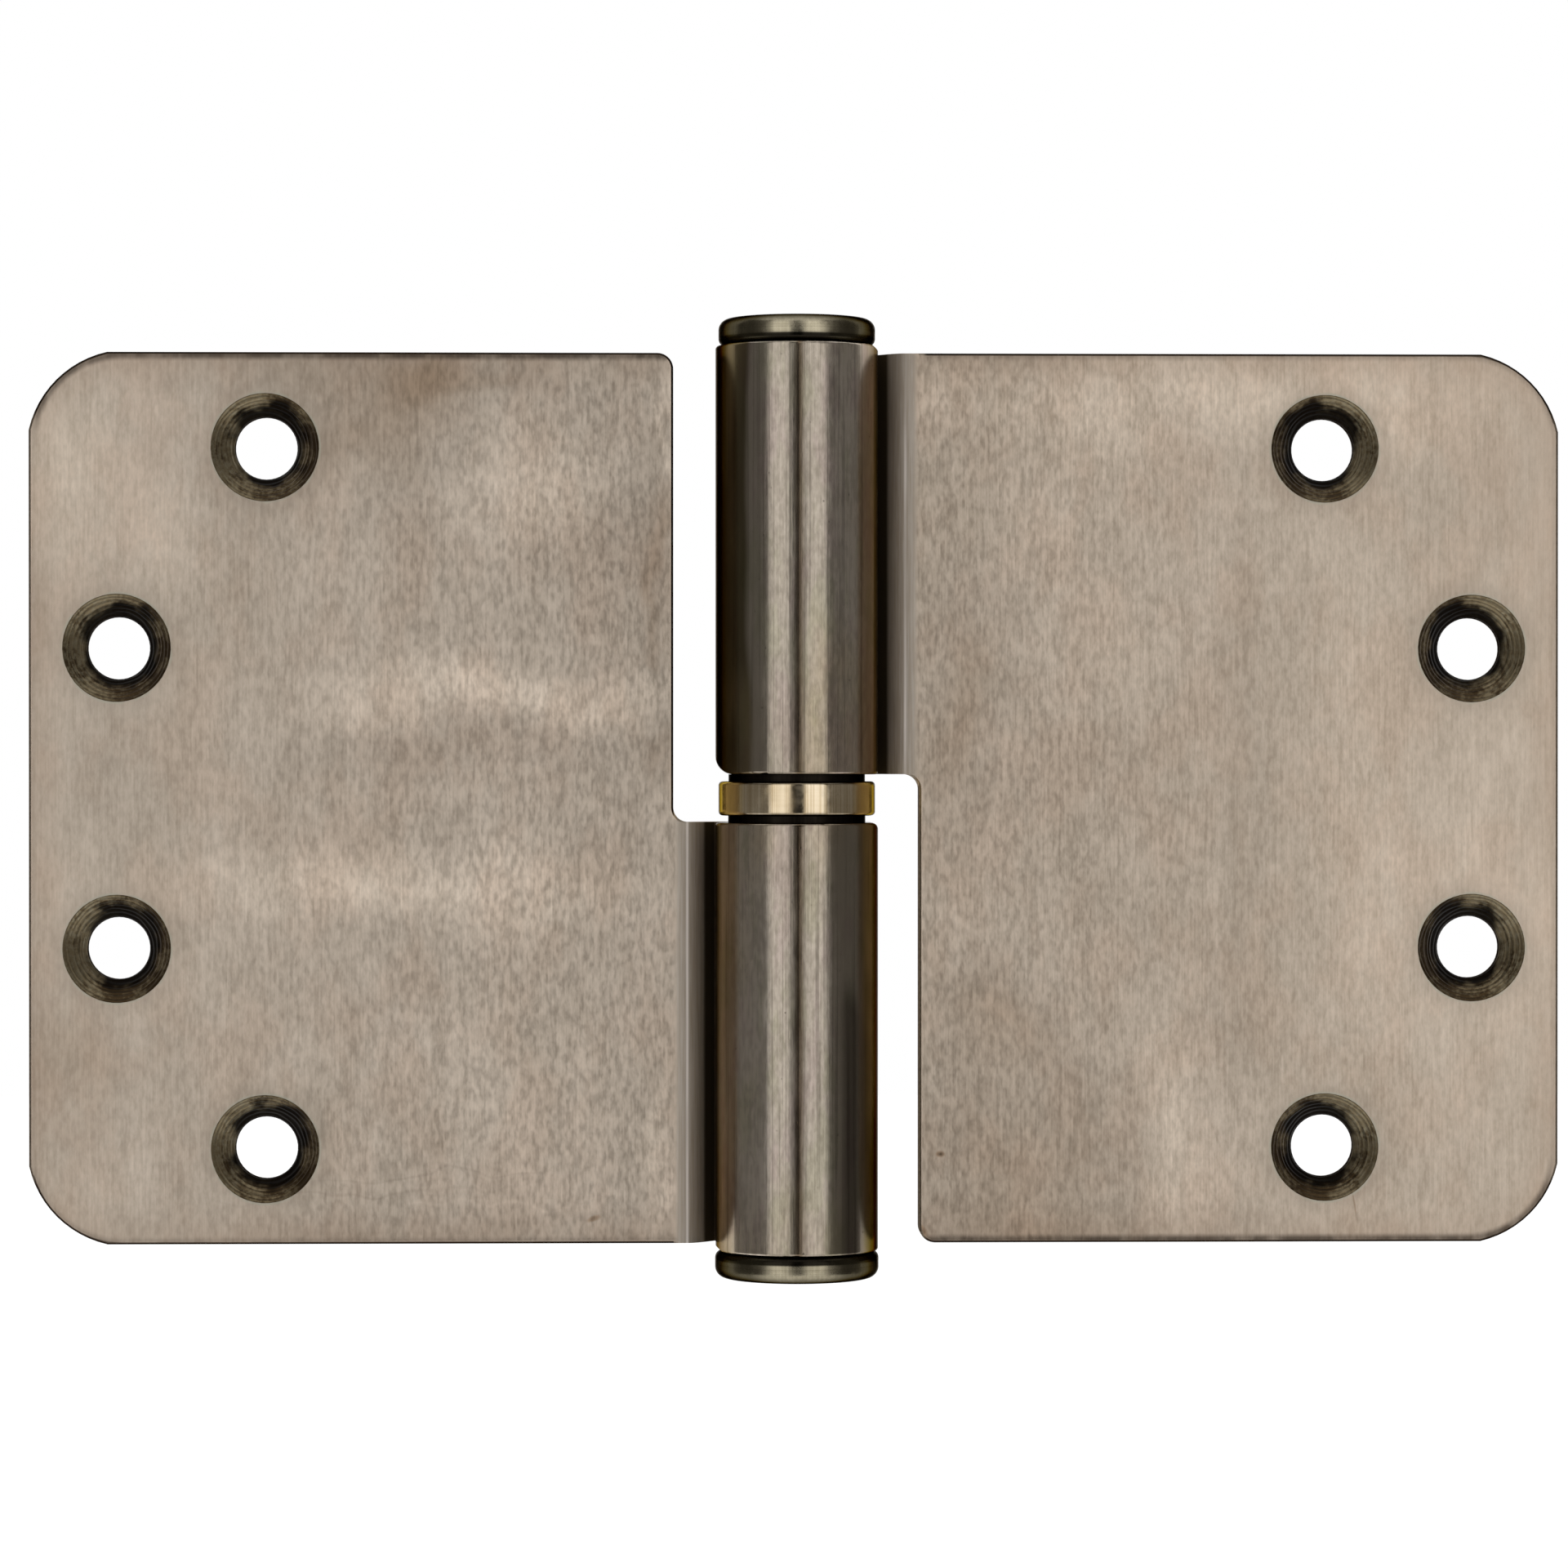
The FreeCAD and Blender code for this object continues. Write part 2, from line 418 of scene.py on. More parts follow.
class Effects:
    """The effects that more than one finish uses, each built once."""

    def __init__(self) -> None:
        """Build every effect."""
        self.grain = self.drawn_grain()
        self.cloud = self.cloudy_film()
        self.pits = self.tiny_pits()
        self.pin = self.about_pin()

    def drawn_grain(self) -> Effect:
        """Short dashes and long hair lines up and down; Across and Along are waves to a millimetre.

        Returns:
            The effect, which puts out Dash and Hair.
        """
        inputs = {"Place": ORIGIN, "Across": 2.4, "Along": 1.1}
        effect = Effect("drawn_grain", inputs, ("Dash", "Hair"))
        wiring, inlet = effect.wiring, effect.inlet
        x, y, z = wiring.split(inlet["Place"])
        across, along = inlet["Across"], inlet["Along"]
        dash = wiring.join(wiring.times(x, across), wiring.times(y, across), wiring.times(z, along))
        hair = wiring.stretch(dash, (2.1, 2.1, 0.16), (7.3, 2.1, 5.9))
        effect.put_out(
            Dash=wiring.noise(dash, detail=2.3, rough=0.55), Hair=wiring.noise(hair, detail=2.0)
        )
        return effect

    def cloudy_film(self) -> Effect:
        """Soft clouds of about the given size in millimetres, and blotches a fifth as large.

        Returns:
            The effect, which puts out Cloud and Blotch.
        """
        effect = Effect("cloudy_film", {"Place": ORIGIN, "Size": 12.0}, ("Cloud", "Blotch"))
        wiring, inlet = effect.wiring, effect.inlet
        scale = wiring.sum(Sum.OVER, 1.0, inlet["Size"])
        effect.put_out(
            Cloud=wiring.noise(inlet["Place"], scale, 2.0, 0.45),
            Blotch=wiring.noise(inlet["Place"], wiring.times(scale, 5.0)),
        )
        return effect

    def tiny_pits(self) -> Effect:
        """Sparse dark specks, Spacing millimetres apart.

        Returns:
            The effect, which puts out Pit.
        """
        effect = Effect("tiny_pits", {"Place": ORIGIN, "Spacing": 1.0, "Share": 0.2}, ("Pit",))
        wiring, inlet = effect.wiring, effect.inlet
        cells = wiring.add("ShaderNodeTexVoronoi", feature="F1")
        wiring.feed(cells.inputs["Vector"], inlet["Place"])
        wiring.feed(cells.inputs["Scale"], wiring.sum(Sum.OVER, 1.0, inlet["Spacing"]))
        near = wiring.fade(cells.outputs["Distance"], 0.04, 0.16, 1.0, 0.0)
        chosen = wiring.noise(inlet["Place"], 0.9, 1.0, 0.5)
        rare = wiring.fade(wiring.plus(chosen, inlet["Share"]), 0.72, 0.8)
        effect.put_out(Pit=wiring.times(near, rare))
        return effect

    def about_pin(self) -> Effect:
        """Where a place is about the pin: its radius, and how far round to the side it lies.

        Returns:
            The effect, which puts out Radius, Side from -1 to 1, and Flank, which is Side's size.
        """
        effect = Effect("about_pin", {"Place": ORIGIN}, ("Radius", "Flank", "Side"))
        wiring, inlet = effect.wiring, effect.inlet
        radius = wiring.length(wiring.stretch(inlet["Place"], (1.0, 1.0, 0.0)))
        x, _, _ = wiring.split(inlet["Place"])
        side = wiring.sum(Sum.OVER, x, wiring.sum(Sum.MOST, radius, 0.001))
        effect.put_out(Radius=radius, Flank=wiring.sum(Sum.SIZE, side), Side=side)
        return effect


def emptied(owner: bpy.types.Material | bpy.types.World) -> Wiring:
    """Give a material or a world an empty node tree.

    Args:
        owner: The material or the world.

    Returns:
        The wiring of its tree.
    """
    owner.use_nodes = True
    owner.node_tree.nodes.clear()
    return Wiring(owner.node_tree)


def placed(name: str, data: bpy.types.ID) -> bpy.types.Object:
    """Make an object and link it into the scene.

    Args:
        name: The object's name.
        data: Its mesh, camera or lamp.

    Returns:
        The object.
    """
    obj = bpy.data.objects.new(name, data)
    bpy.context.scene.collection.objects.link(obj)
    return obj


class Surface:
    """One material in the making: its wiring, its place input and its metal shader."""

    def __init__(self, name: str) -> None:
        """Make a material with a plain shader and Object coordinates in millimetres.

        Args:
            name: The material's name.
        """
        self.material = bpy.data.materials.new(name)
        self.wiring = emptied(self.material)
        self.shader = self.wiring.add("ShaderNodeBsdfPrincipled")
        out = self.wiring.add("ShaderNodeOutputMaterial")
        self.wiring.feed(out.inputs["Surface"], self.shader.outputs[0])
        coordinates = self.wiring.add("ShaderNodeTexCoord")
        self.spot = self.wiring.stretch(coordinates.outputs["Object"], (1 / MM, 1 / MM, 1 / MM))

    def set(self, **values: Feed) -> None:
        """Feed the shader's inputs by name, with an underscore for each space."""
        for key, value in values.items():
            self.wiring.feed(self.shader.inputs[key.replace("_", " ")], value)

    def relief(self, height: Socket, depth: float, strength: float) -> None:
        """Bump the surface.

        Args:
            height: The relief, from 0 to 1.
            depth: How deep it is, in millimetres.
            strength: How much of it shows.
        """
        bump = self.wiring.add("ShaderNodeBump")
        bump.inputs["Strength"].default_value = strength
        bump.inputs["Distance"].default_value = depth * MM
        self.wiring.feed(bump.inputs["Height"], height)
        self.set(Normal=bump.outputs[0])


@dataclass(frozen=True)
class LightPatch:
    """A soft patch on a leaf's front, in millimetres: painted light where its strength is above 0,
    painted shade below.
    """

    x: float
    z: float
    half_wide: float
    half_high: float
    strength: float


@dataclass(frozen=True)
class Reading:
    """What the leaf's finish reads at a place: its X, Y and Z in millimetres, and the effects."""

    wiring: Wiring
    spot: Socket
    x: Socket
    y: Socket
    z: Socket
    grain: Outputs
    cloud: Outputs
    pits: Outputs
    pin: Outputs


@dataclass(frozen=True)
class BrushedSheet:
    """The leaf's finish: brushed plate, ground knuckle, punched edges with painted shade where they
    round over.

    far_side is 1 where the knuckle's flank away from the plate faces +X, and -1 where it faces
    -X. The starts of its painted flank reflection and painted shade outline go from 0 at the
    middle to 1 at the side. The shares of the sides say how much of the painted shade on the
    rounding shows there. Waves are across and along the grain, to a millimetre, and other spans
    say where a change starts and where it is complete.
    """

    name: str
    light_patches: tuple[LightPatch, ...]
    holes: tuple[Span, ...]
    far_side: float
    grain_waves: Span = (2.4, 0.95)
    grain_reach: float = 0.17
    cloud_size: float = 15.0
    cloud_reach: float = 0.07
    blotch_reach: float = 0.075
    pit_spacing: float = 0.9
    pit_share: float = 0.12
    relief_depth: float = 0.006
    plate_rough: Span = (0.36, 0.5)
    knuckle_rough: Span = (0.15, 0.22)
    bend_rough: float = 0.62
    flank_reflection_start: float = 0.74
    outline_start: float = 0.93
    patch_top: Span = (-24.0, -19.0)
    heavy_edge: Span = (30.0, 42.0)
    inner_side: float = 1.0
    outer_side: float = 0.35
    flank_reflection: Colour = tone(120, 106, 76)
    flank_reflection_pale: Colour = tone(170, 152, 116)
    pale: Colour = tone(218, 204, 188)
    dark: Colour = tone(149, 136, 120)
    brown: Colour = tone(154, 128, 106)
    rosy: Colour = tone(255, 238, 228)
    halo: Colour = tone(154, 142, 128)
    rim_highlight: Colour = tone(172, 168, 152)
    # The dark tone of painted shade on rounded edges and in recesses, also used for real drawn
    # lines and pits.
    rounded: Colour = tone(44, 35, 27)
    sheared: Colour = tone(152, 140, 125)
    torn: Colour = tone(98, 88, 76)
    knuckle_pale: Colour = tone(164, 154, 141)
    knuckle_dark: Colour = tone(128, 119, 107)
    near_flank_highlight: Colour = tone(193, 183, 171)
    far_flank_reflection: Colour = tone(140, 131, 118)
    near_edge_reflection: Colour = tone(172, 156, 134)
    film: Colour = tone(226, 206, 150)
    green: Colour = tone(226, 236, 214)
    violet: Colour = tone(240, 226, 240)
    warm: Colour = tone(255, 238, 220)
    middle_reflection_line: Colour = tone(96, 76, 52)
    outline: Colour = tone(84, 74, 58)
    bend: Colour = tone(184, 176, 166)
    ridge_highlight: Colour = tone(246, 240, 236)
    grazing: Colour = tone(120, 112, 100)
    front: float = 1.5
    back: float = 4.5
    reach: float = 76.5
    half_height: float = 44.5
    corner_radius: float = 9.4
    bend_start: float = 12.25
    seam_end: float = 9.4
    knuckle_radius: float = 8.1
    sink_radius: float = 5.4

    def build(self, effects: Effects) -> bpy.types.Material:
        """Wire the material.

        Args:
            effects: The shared effects.

        Returns:
            The finished material.
        """
        surface = Surface(self.name)
        wiring, spot = surface.wiring, surface.spot
        upright = wiring.stretch(spot, (1.25, 1.25, 0.55))
        at = Reading(
            wiring, spot, *wiring.split(spot),
            grain=wiring.place(
                effects.grain, Place=spot, Across=self.grain_waves[0], Along=self.grain_waves[1]
            ),
            cloud=wiring.place(effects.cloud, Place=upright, Size=self.cloud_size),
            pits=wiring.place(
                effects.pits, Place=spot, Spacing=self.pit_spacing, Share=self.pit_share
            ),
            pin=wiring.place(effects.pin, Place=spot),
        )
        knuckle = self.knuckle_radius
        is_plate = wiring.fade(at.pin["Radius"], knuckle + 0.1, knuckle + 0.5)
        across = wiring.sum(Sum.SIZE, at.x)
        in_bend = wiring.times(
            is_plate,
            wiring.fade(across, self.bend_start - 0.6, self.bend_start, 1.0, 0.0),
            wiring.fade(at.y, self.back - 0.4, self.back - 0.1, 1.0, 0.0),
        )
        in_seam = wiring.fade(across, self.seam_end - 0.4, self.seam_end, 1.0, 0.0)
        # Painted light: a paler tone on the bend, standing for the light it catches.
        bend = wiring.paint(
            wiring.fade(at.grain["Hair"], 0.35, 0.65, 0.1, 0.5), self.bend, self.dark
        )
        # Painted highlight: a thin pale line along the middle of the bend.
        off_ridge = wiring.sum(Sum.SIZE, wiring.sum(Sum.TAKE, across, self.seam_end + 1.5))
        ridge_highlight = wiring.times(
            wiring.fade(off_ridge, 0.0, 0.22, 0.7, 0.0),
            in_bend,
            wiring.fade(at.cloud["Cloud"], 0.35, 0.6),
        )
        colour = wiring.coats(
            wiring.paint(is_plate, self.knuckle_colour(at), self.plate_colour(at)),
            (wiring.times(in_bend, 0.9), bend),
            (ridge_highlight, self.ridge_highlight),
            # Painted shade in the deep seam where the bend meets the knuckle.
            (wiring.times(in_bend, in_seam), self.outline),
        )
        surface.set(Base_Color=colour, Metallic=1.0, Specular_Tint=self.grazing)
        rough = wiring.blend(
            is_plate,
            wiring.fade(at.cloud["Blotch"], 0.2, 0.8, *self.knuckle_rough),
            wiring.fade(at.grain["Dash"], 0.25, 0.75, *self.plate_rough),
        )
        surface.set(Roughness=wiring.blend(in_bend, rough, self.bend_rough))
        drawn = wiring.plus(at.grain["Dash"], at.grain["Hair"])
        surface.relief(wiring.sum(Sum.TAKE, drawn, at.pits["Pit"]), self.relief_depth, 0.5)
        return surface.material

    def plate_colour(self, at: Reading) -> Socket:
        """The brushed plate: grain, clouds, patches of painted light and shade, rims of the
        countersinks with a painted highlight, and painted shade on the edges.

        Args:
            at: What the finish reads.

        Returns:
            The colour's socket.
        """
        wiring = at.wiring
        level = wiring.fade(
            at.grain["Dash"], 0.2, 0.8, 0.5 - self.grain_reach, 0.5 + self.grain_reach
        )
        for value, low, high, reach in (
            (at.grain["Hair"], 0.2, 0.8, 0.5 * self.grain_reach),
            (at.cloud["Cloud"], 0.3, 0.7, self.cloud_reach),
            (at.cloud["Blotch"], 0.3, 0.7, self.blotch_reach),
        ):
            level = wiring.plus(level, wiring.fade(value, low, high, -reach, reach))
        in_front = wiring.fade(at.y, self.front + 0.8, self.front + 1.5, 1.0, 0.0)
        gain = wiring.plus(wiring.times(self.patch_light(at), in_front), 1.0)
        hue = wiring.noise(wiring.stretch(at.spot, (0.16, 0.16, 0.1), (3.0, 8.0, 5.0)))
        inset = self.from_edge(at)
        colour = wiring.coats(
            wiring.scale(
                wiring.paint(level, self.dark, self.pale), wiring.sum(Sum.MOST, gain, 0.1)
            ),
            # Where the painted shade patches darken the plate, it is also warmer.
            (wiring.fade(gain, 0.65, 0.95, 0.8, 0.0), self.warm, Lay.DARKEN),
            (wiring.fade(hue, 0.4, 0.65, 0.0, 0.24), self.rosy, Lay.DARKEN),
            (wiring.times(wiring.fade(inset, 0.0, 4.5, 0.45, 0.0), at.cloud["Blotch"]), self.brown),
            (wiring.times(self.edge_shade(at, inset), in_front), self.rounded),
        )
        near = self.from_hole(at)
        return self.edge_colour(at, near, self.rim_colour(at, near, in_front, colour))

    def patch_light(self, at: Reading) -> Socket:
        """How much paler the painted light patches make a place, and darker, as painted shade,
        where it is below 0.

        Args:
            at: What the finish reads.

        Returns:
            The change's socket.
        """
        wiring = at.wiring
        shaken = wiring.shake(at.spot, 0.09, 4.5)
        gain = 0.0
        for light_patch in self.light_patches:
            scale = (1 / light_patch.half_wide, 0.0, 1 / light_patch.half_high)
            shift = (-light_patch.x / light_patch.half_wide, 0.0, -light_patch.z / light_patch.half_high)
            away = wiring.length(wiring.stretch(shaken, scale, shift))
            gain = wiring.plus(wiring.fade(away, 0.0, 1.1, 0.8 * light_patch.strength, 0.0), gain)
        return gain

    def from_edge(self, at: Reading) -> Socket:
        """How far a place is inside the plate's outline, with its rounded outer corners.

        Args:
            at: What the finish reads.

        Returns:
            The distance in millimetres.
        """
        wiring, radius = at.wiring, self.corner_radius
        aside, above = (
            wiring.sum(Sum.TAKE, wiring.sum(Sum.SIZE, value), half - radius)
            for value, half in ((at.x, self.reach), (at.z, self.half_height))
        )
        corner = wiring.length(
            wiring.join(wiring.sum(Sum.MOST, aside, 0.0), 0.0, wiring.sum(Sum.MOST, above, 0.0))
        )
        middle = wiring.sum(Sum.LEAST, wiring.sum(Sum.MOST, aside, above), 0.0)
        return wiring.sum(Sum.TAKE, radius, wiring.plus(corner, middle))

    def edge_shade(self, at: Reading, inset: Socket) -> Socket:
        """The painted shade where the front rounds over: a thin line, wider at the heavy edge.

        Args:
            at: What the finish reads.
            inset: How far the place is inside the plate's outline.

        Returns:
            The share of the dark tone.
        """
        wiring = at.wiring
        line = wiring.sum(
            Sum.MOST,
            wiring.fade(inset, 0.1, 0.9, 0.4, 0.0),
            wiring.fade(inset, 0.12, 0.4, 0.85, 0.0),
        )
        heavy = wiring.times(
            wiring.fade(inset, 0.35, 1.0, 0.8, 0.0), wiring.fade(at.z, *self.heavy_edge)
        )
        return wiring.times(
            wiring.sum(Sum.MOST, line, heavy),
            wiring.fade(at.cloud["Blotch"], 0.3, 0.6, 0.6, 1.0),
            self.calmer_sides(at),
        )

    def calmer_sides(self, at: Reading) -> Socket:
        """How much of the painted shade on the rounding shows: all of it, but less on the upright
        sides.

        Args:
            at: What the finish reads.

        Returns:
            The share that shows.
        """
        wiring, start = at.wiring, self.bend_start
        across = wiring.sum(Sum.SIZE, at.x)
        return wiring.times(
            wiring.fade(across, self.reach - 0.9, self.reach - 0.3, 1.0, self.outer_side),
            wiring.fade(across, start + 0.3, start + 0.9, self.inner_side, 1.0),
        )

    def from_hole(self, at: Reading) -> Socket:
        """How far a place is from the axis of the nearest screw hole.

        Args:
            at: What the finish reads.

        Returns:
            The distance in millimetres.
        """
        wiring = at.wiring
        near = FAR_AWAY
        for x, z in self.holes:
            away = wiring.length(wiring.stretch(at.spot, (1.0, 0.0, 1.0), (-x, 0.0, -z)))
            near = wiring.sum(Sum.LEAST, away, near)
        return near

    def rim_colour(self, at: Reading, near: Socket, in_front: Socket, colour: Socket) -> Socket:
        """A dull halo and a broken pale line, a painted highlight, round each countersink, on the
        front only.

        Args:
            at: What the finish reads.
            near: How far the place is from the nearest hole's axis.
            in_front: 1 on the front and 0 behind.
            colour: The colour below.

        Returns:
            The colour's socket.
        """
        wiring, rim = at.wiring, self.sink_radius
        # Painted highlight: a broken pale line just outside each countersink's rim.
        line = wiring.times(
            wiring.fade(near, rim + 0.08, rim + 0.3, 0.9, 0.0),
            wiring.fade(wiring.noise(at.spot, 0.5, 2.0), 0.35, 0.6, 0.1, 0.8),
            in_front,
        )
        return wiring.coats(
            colour,
            (wiring.times(wiring.fade(near, rim, rim + 2.2, 0.3, 0.0), in_front), self.halo),
            (line, self.rim_highlight),
        )

    def edge_colour(self, at: Reading, near: Socket, colour: Socket) -> Socket:
        """The cut edges of the plate: painted shade where they round over in front and at the
        countersinks, then sheared, then torn.

        Args:
            at: What the finish reads.
            near: How far the place is from the nearest hole's axis.
            colour: The colour below.

        Returns:
            The colour's socket.
        """
        wiring, front, back, rim = at.wiring, self.front, self.back, self.sink_radius
        edge = wiring.times(
            wiring.fade(wiring.sum(Sum.SIZE, at.x), self.bend_start, self.bend_start + 0.03),
            wiring.fade(at.y, front + 0.004, front + 0.05),
            wiring.fade(at.y, back - 0.1, back - 0.02, 1.0, 0.0),
        )
        marks = wiring.noise(wiring.stretch(at.spot, (3.0, 0.5, 3.0)), detail=2.0)
        wander = wiring.plus(at.y, wiring.fade(marks, 0.3, 0.7, -0.3, 0.3))
        # Painted shade on the front rounding of the cut edges and at the countersink rims.
        dark = wiring.sum(
            Sum.MOST,
            wiring.fade(at.y, front + 0.3, front + 0.5, 1.0, 0.0),
            wiring.fade(near, rim - 0.5, rim, 1.0, 0.0),
        )
        face = wiring.coats(
            self.sheared,
            (wiring.fade(marks, 0.3, 0.7, 0.0, 0.5), self.torn),
            (wiring.fade(wander, 2.5, 3.1), self.torn),
            (wiring.times(dark, self.calmer_sides(at)), self.rounded),
        )
        return wiring.paint(edge, colour, face)

    def knuckle_colour(self, at: Reading) -> Socket:
        """The ground knuckle: drawn lines along the roll, tinted films, painted reflections on the
        flanks, painted shade at its outline and ends, small pits.

        Args:
            at: What the finish reads.

        Returns:
            The colour's socket.
        """
        wiring, cloud, pin = at.wiring, at.cloud, at.pin
        level = wiring.plus(
            wiring.fade(at.grain["Hair"], 0.25, 0.75, 0.0, 0.45),
            wiring.fade(at.grain["Dash"], 0.25, 0.75, -0.1, 0.5),
            wiring.fade(cloud["Blotch"], 0.3, 0.7, -0.1, 0.3),
        )
        far = wiring.times(pin["Side"], wiring.fade(at.y, 0.5, 4.5, self.far_side, 0.0))
        near_highlight_tone = wiring.paint(
            wiring.fade(level, 0.2, 0.8, 0.35, 0.0), self.near_flank_highlight, self.knuckle_dark
        )
        lower = wiring.plus(at.z, wiring.fade(cloud["Cloud"], 0.3, 0.7, -4.0, 4.0))
        # Painted shade: a dark patch on the lower part of the far flank of the frame's knuckle.
        patch = wiring.times(
            wiring.fade(lower, *self.patch_top, 0.62, 0.0),
            wiring.fade(far, 0.48, 0.6),
            wiring.fade(far, 0.68, 0.76, 1.0, 0.3),
        )
        # Painted reflection: the far flank takes a dark olive tone, as if it mirrored dark
        # surroundings.
        flank_reflection_mask = wiring.plus(far, wiring.fade(cloud["Cloud"], 0.3, 0.7, -0.05, 0.05))
        flank_reflection = wiring.paint(wiring.fade(cloud["Cloud"], 0.4, 0.6), self.flank_reflection, self.flank_reflection_pale)
        film = wiring.times(wiring.fade(cloud["Cloud"], 0.45, 0.7, 0.0, 0.6), cloud["Blotch"])
        hue = wiring.noise(wiring.stretch(at.spot, (0.35, 0.35, 0.11), (2.0, 6.0, 1.0)))
        drawn = wiring.join(wiring.times(pin["Side"], 24.0), 0.0, wiring.times(at.z, 0.02))
        drawn = wiring.fade(wiring.noise(drawn, detail=2.0), 0.54, 0.66, 0.0, 0.3)
        # Painted reflection: a dark line down the middle of the knuckle's front.
        middle = wiring.times(
            wiring.fade(pin["Flank"], 0.0, 0.09, 0.7, 0.0),
            wiring.fade(at.y, -2.0, 0.0, 1.0, 0.0),
        )
        # Painted shade: dark at the knuckle's far outline and at its ends beside the bearing.
        edge = wiring.sum(
            Sum.MOST,
            wiring.fade(far, self.outline_start, self.outline_start + 0.05, 0.0, 0.85),
            wiring.fade(wiring.sum(Sum.SIZE, at.z), 2.3, 2.7, 0.9, 0.0),
        )
        return wiring.coats(
            wiring.paint(level, self.knuckle_dark, self.knuckle_pale),
            # Painted reflection: a pale highlight on the near flank, a paler band at its edge and a
            # darker far flank.
            (wiring.fade(far, -0.48, -0.32, 1.0, 0.0), near_highlight_tone),
            (wiring.fade(far, -0.9, -0.66, 0.75, 0.0), self.near_edge_reflection),
            (wiring.fade(far, 0.32, 0.5, 0.0, 0.8), self.far_flank_reflection),
            (patch, self.rounded),
            (wiring.fade(flank_reflection_mask, self.flank_reflection_start, self.flank_reflection_start + 0.1, 0.0, 0.95), flank_reflection),
            (film, self.film, Lay.DARKEN),
            (wiring.fade(hue, 0.36, 0.48, 0.35, 0.0), self.green, Lay.DARKEN),
            (wiring.fade(hue, 0.52, 0.64, 0.0, 0.35), self.violet, Lay.DARKEN),
            (drawn, self.rounded),
            (middle, self.middle_reflection_line),
            (edge, self.outline),
            (wiring.times(at.pits["Pit"], 0.6), self.rounded),
        )


@dataclass(frozen=True)
class TurnedSteel:
    """Steel turned or ground about the pin, with fine rings and flanks in a painted reflection
    tone.

    flank_range goes from 0 at the middle to 1 at the side. The groove is painted shade, and the
    nose is where the outer edge takes a painted shade; both are heights above or below the bearing.
    """

    name: str
    pale: Colour
    dark: Colour
    flank: Colour
    flank_share: float = 0.8
    flank_range: Span = (0.7, 0.97)
    groove: Span | None = None
    groove_shade: Colour = tone(14, 11, 8)
    nose: Span | None = None
    nose_shade: Colour = tone(40, 36, 26)
    ring_pitch: float = 0.16
    ring_share: float = 0.4
    line_share: float = 0.25
    cloud_share: float = 0.35
    cloud_size: float = 6.0
    pit_spacing: float = 0.7
    pit_share: float = 0.1
    rough: float = 0.24
    depth: float = 0.006
    grazing: Colour = tone(110, 102, 88)

    def build(self, effects: Effects) -> bpy.types.Material:
        """Wire the material.

        Args:
            effects: The shared effects.

        Returns:
            The finished material.
        """
        surface = Surface(self.name)
        wiring, spot = surface.wiring, surface.spot
        pin = wiring.place(effects.pin, Place=spot)
        cloud = wiring.place(effects.cloud, Place=spot, Size=self.cloud_size)
        pits = wiring.place(
            effects.pits, Place=spot, Spacing=self.pit_spacing, Share=self.pit_share
        )
        lines = wiring.place(effects.grain, Place=spot, Across=1.6, Along=0.1)
        _, _, z = wiring.split(spot)
        turn = wiring.join(0.0, 0.0, wiring.plus(z, pin["Radius"]))
        rings = wiring.noise(turn, 1 / self.ring_pitch, 2.0)
        share = wiring.plus(
            wiring.fade(rings, 0.3, 0.7, 0.0, self.ring_share),
            wiring.fade(cloud["Cloud"], 0.3, 0.7, 0.0, self.cloud_share),
            wiring.fade(lines["Hair"], 0.3, 0.7, 0.0, self.line_share),
        )
        height = wiring.sum(Sum.SIZE, z)
        coats = []
        # Painted shade on the rounded nose and in the groove.
        if self.nose:
            rim = wiring.fade(pin["Radius"], 4.5, 7.0, 0.0, 0.9)
            coats.append((wiring.times(rim, wiring.fade(height, *self.nose)), self.nose_shade))
        if self.groove:
            coats.append((wiring.fade(height, *self.groove, 0.97, 0.0), self.groove_shade))
        # Painted reflection: the flanks take another tone, paler on the shell and darker on the
        # caps and races.
        flank = wiring.fade(pin["Flank"], *self.flank_range, 0.0, self.flank_share)
        colour = wiring.coats(
            wiring.paint(share, self.dark, self.pale),
            *coats,
            (flank, self.flank),
            (wiring.times(pits["Pit"], 0.5), self.dark, Lay.DARKEN),
        )
        rough = wiring.fade(cloud["Blotch"], 0.3, 0.7, self.rough - 0.05, self.rough + 0.08)
        surface.set(
            Base_Color=colour, Metallic=1.0, Specular_Tint=self.grazing, Roughness=rough
        )
        surface.relief(rings, self.depth, 0.5)
        return surface.material


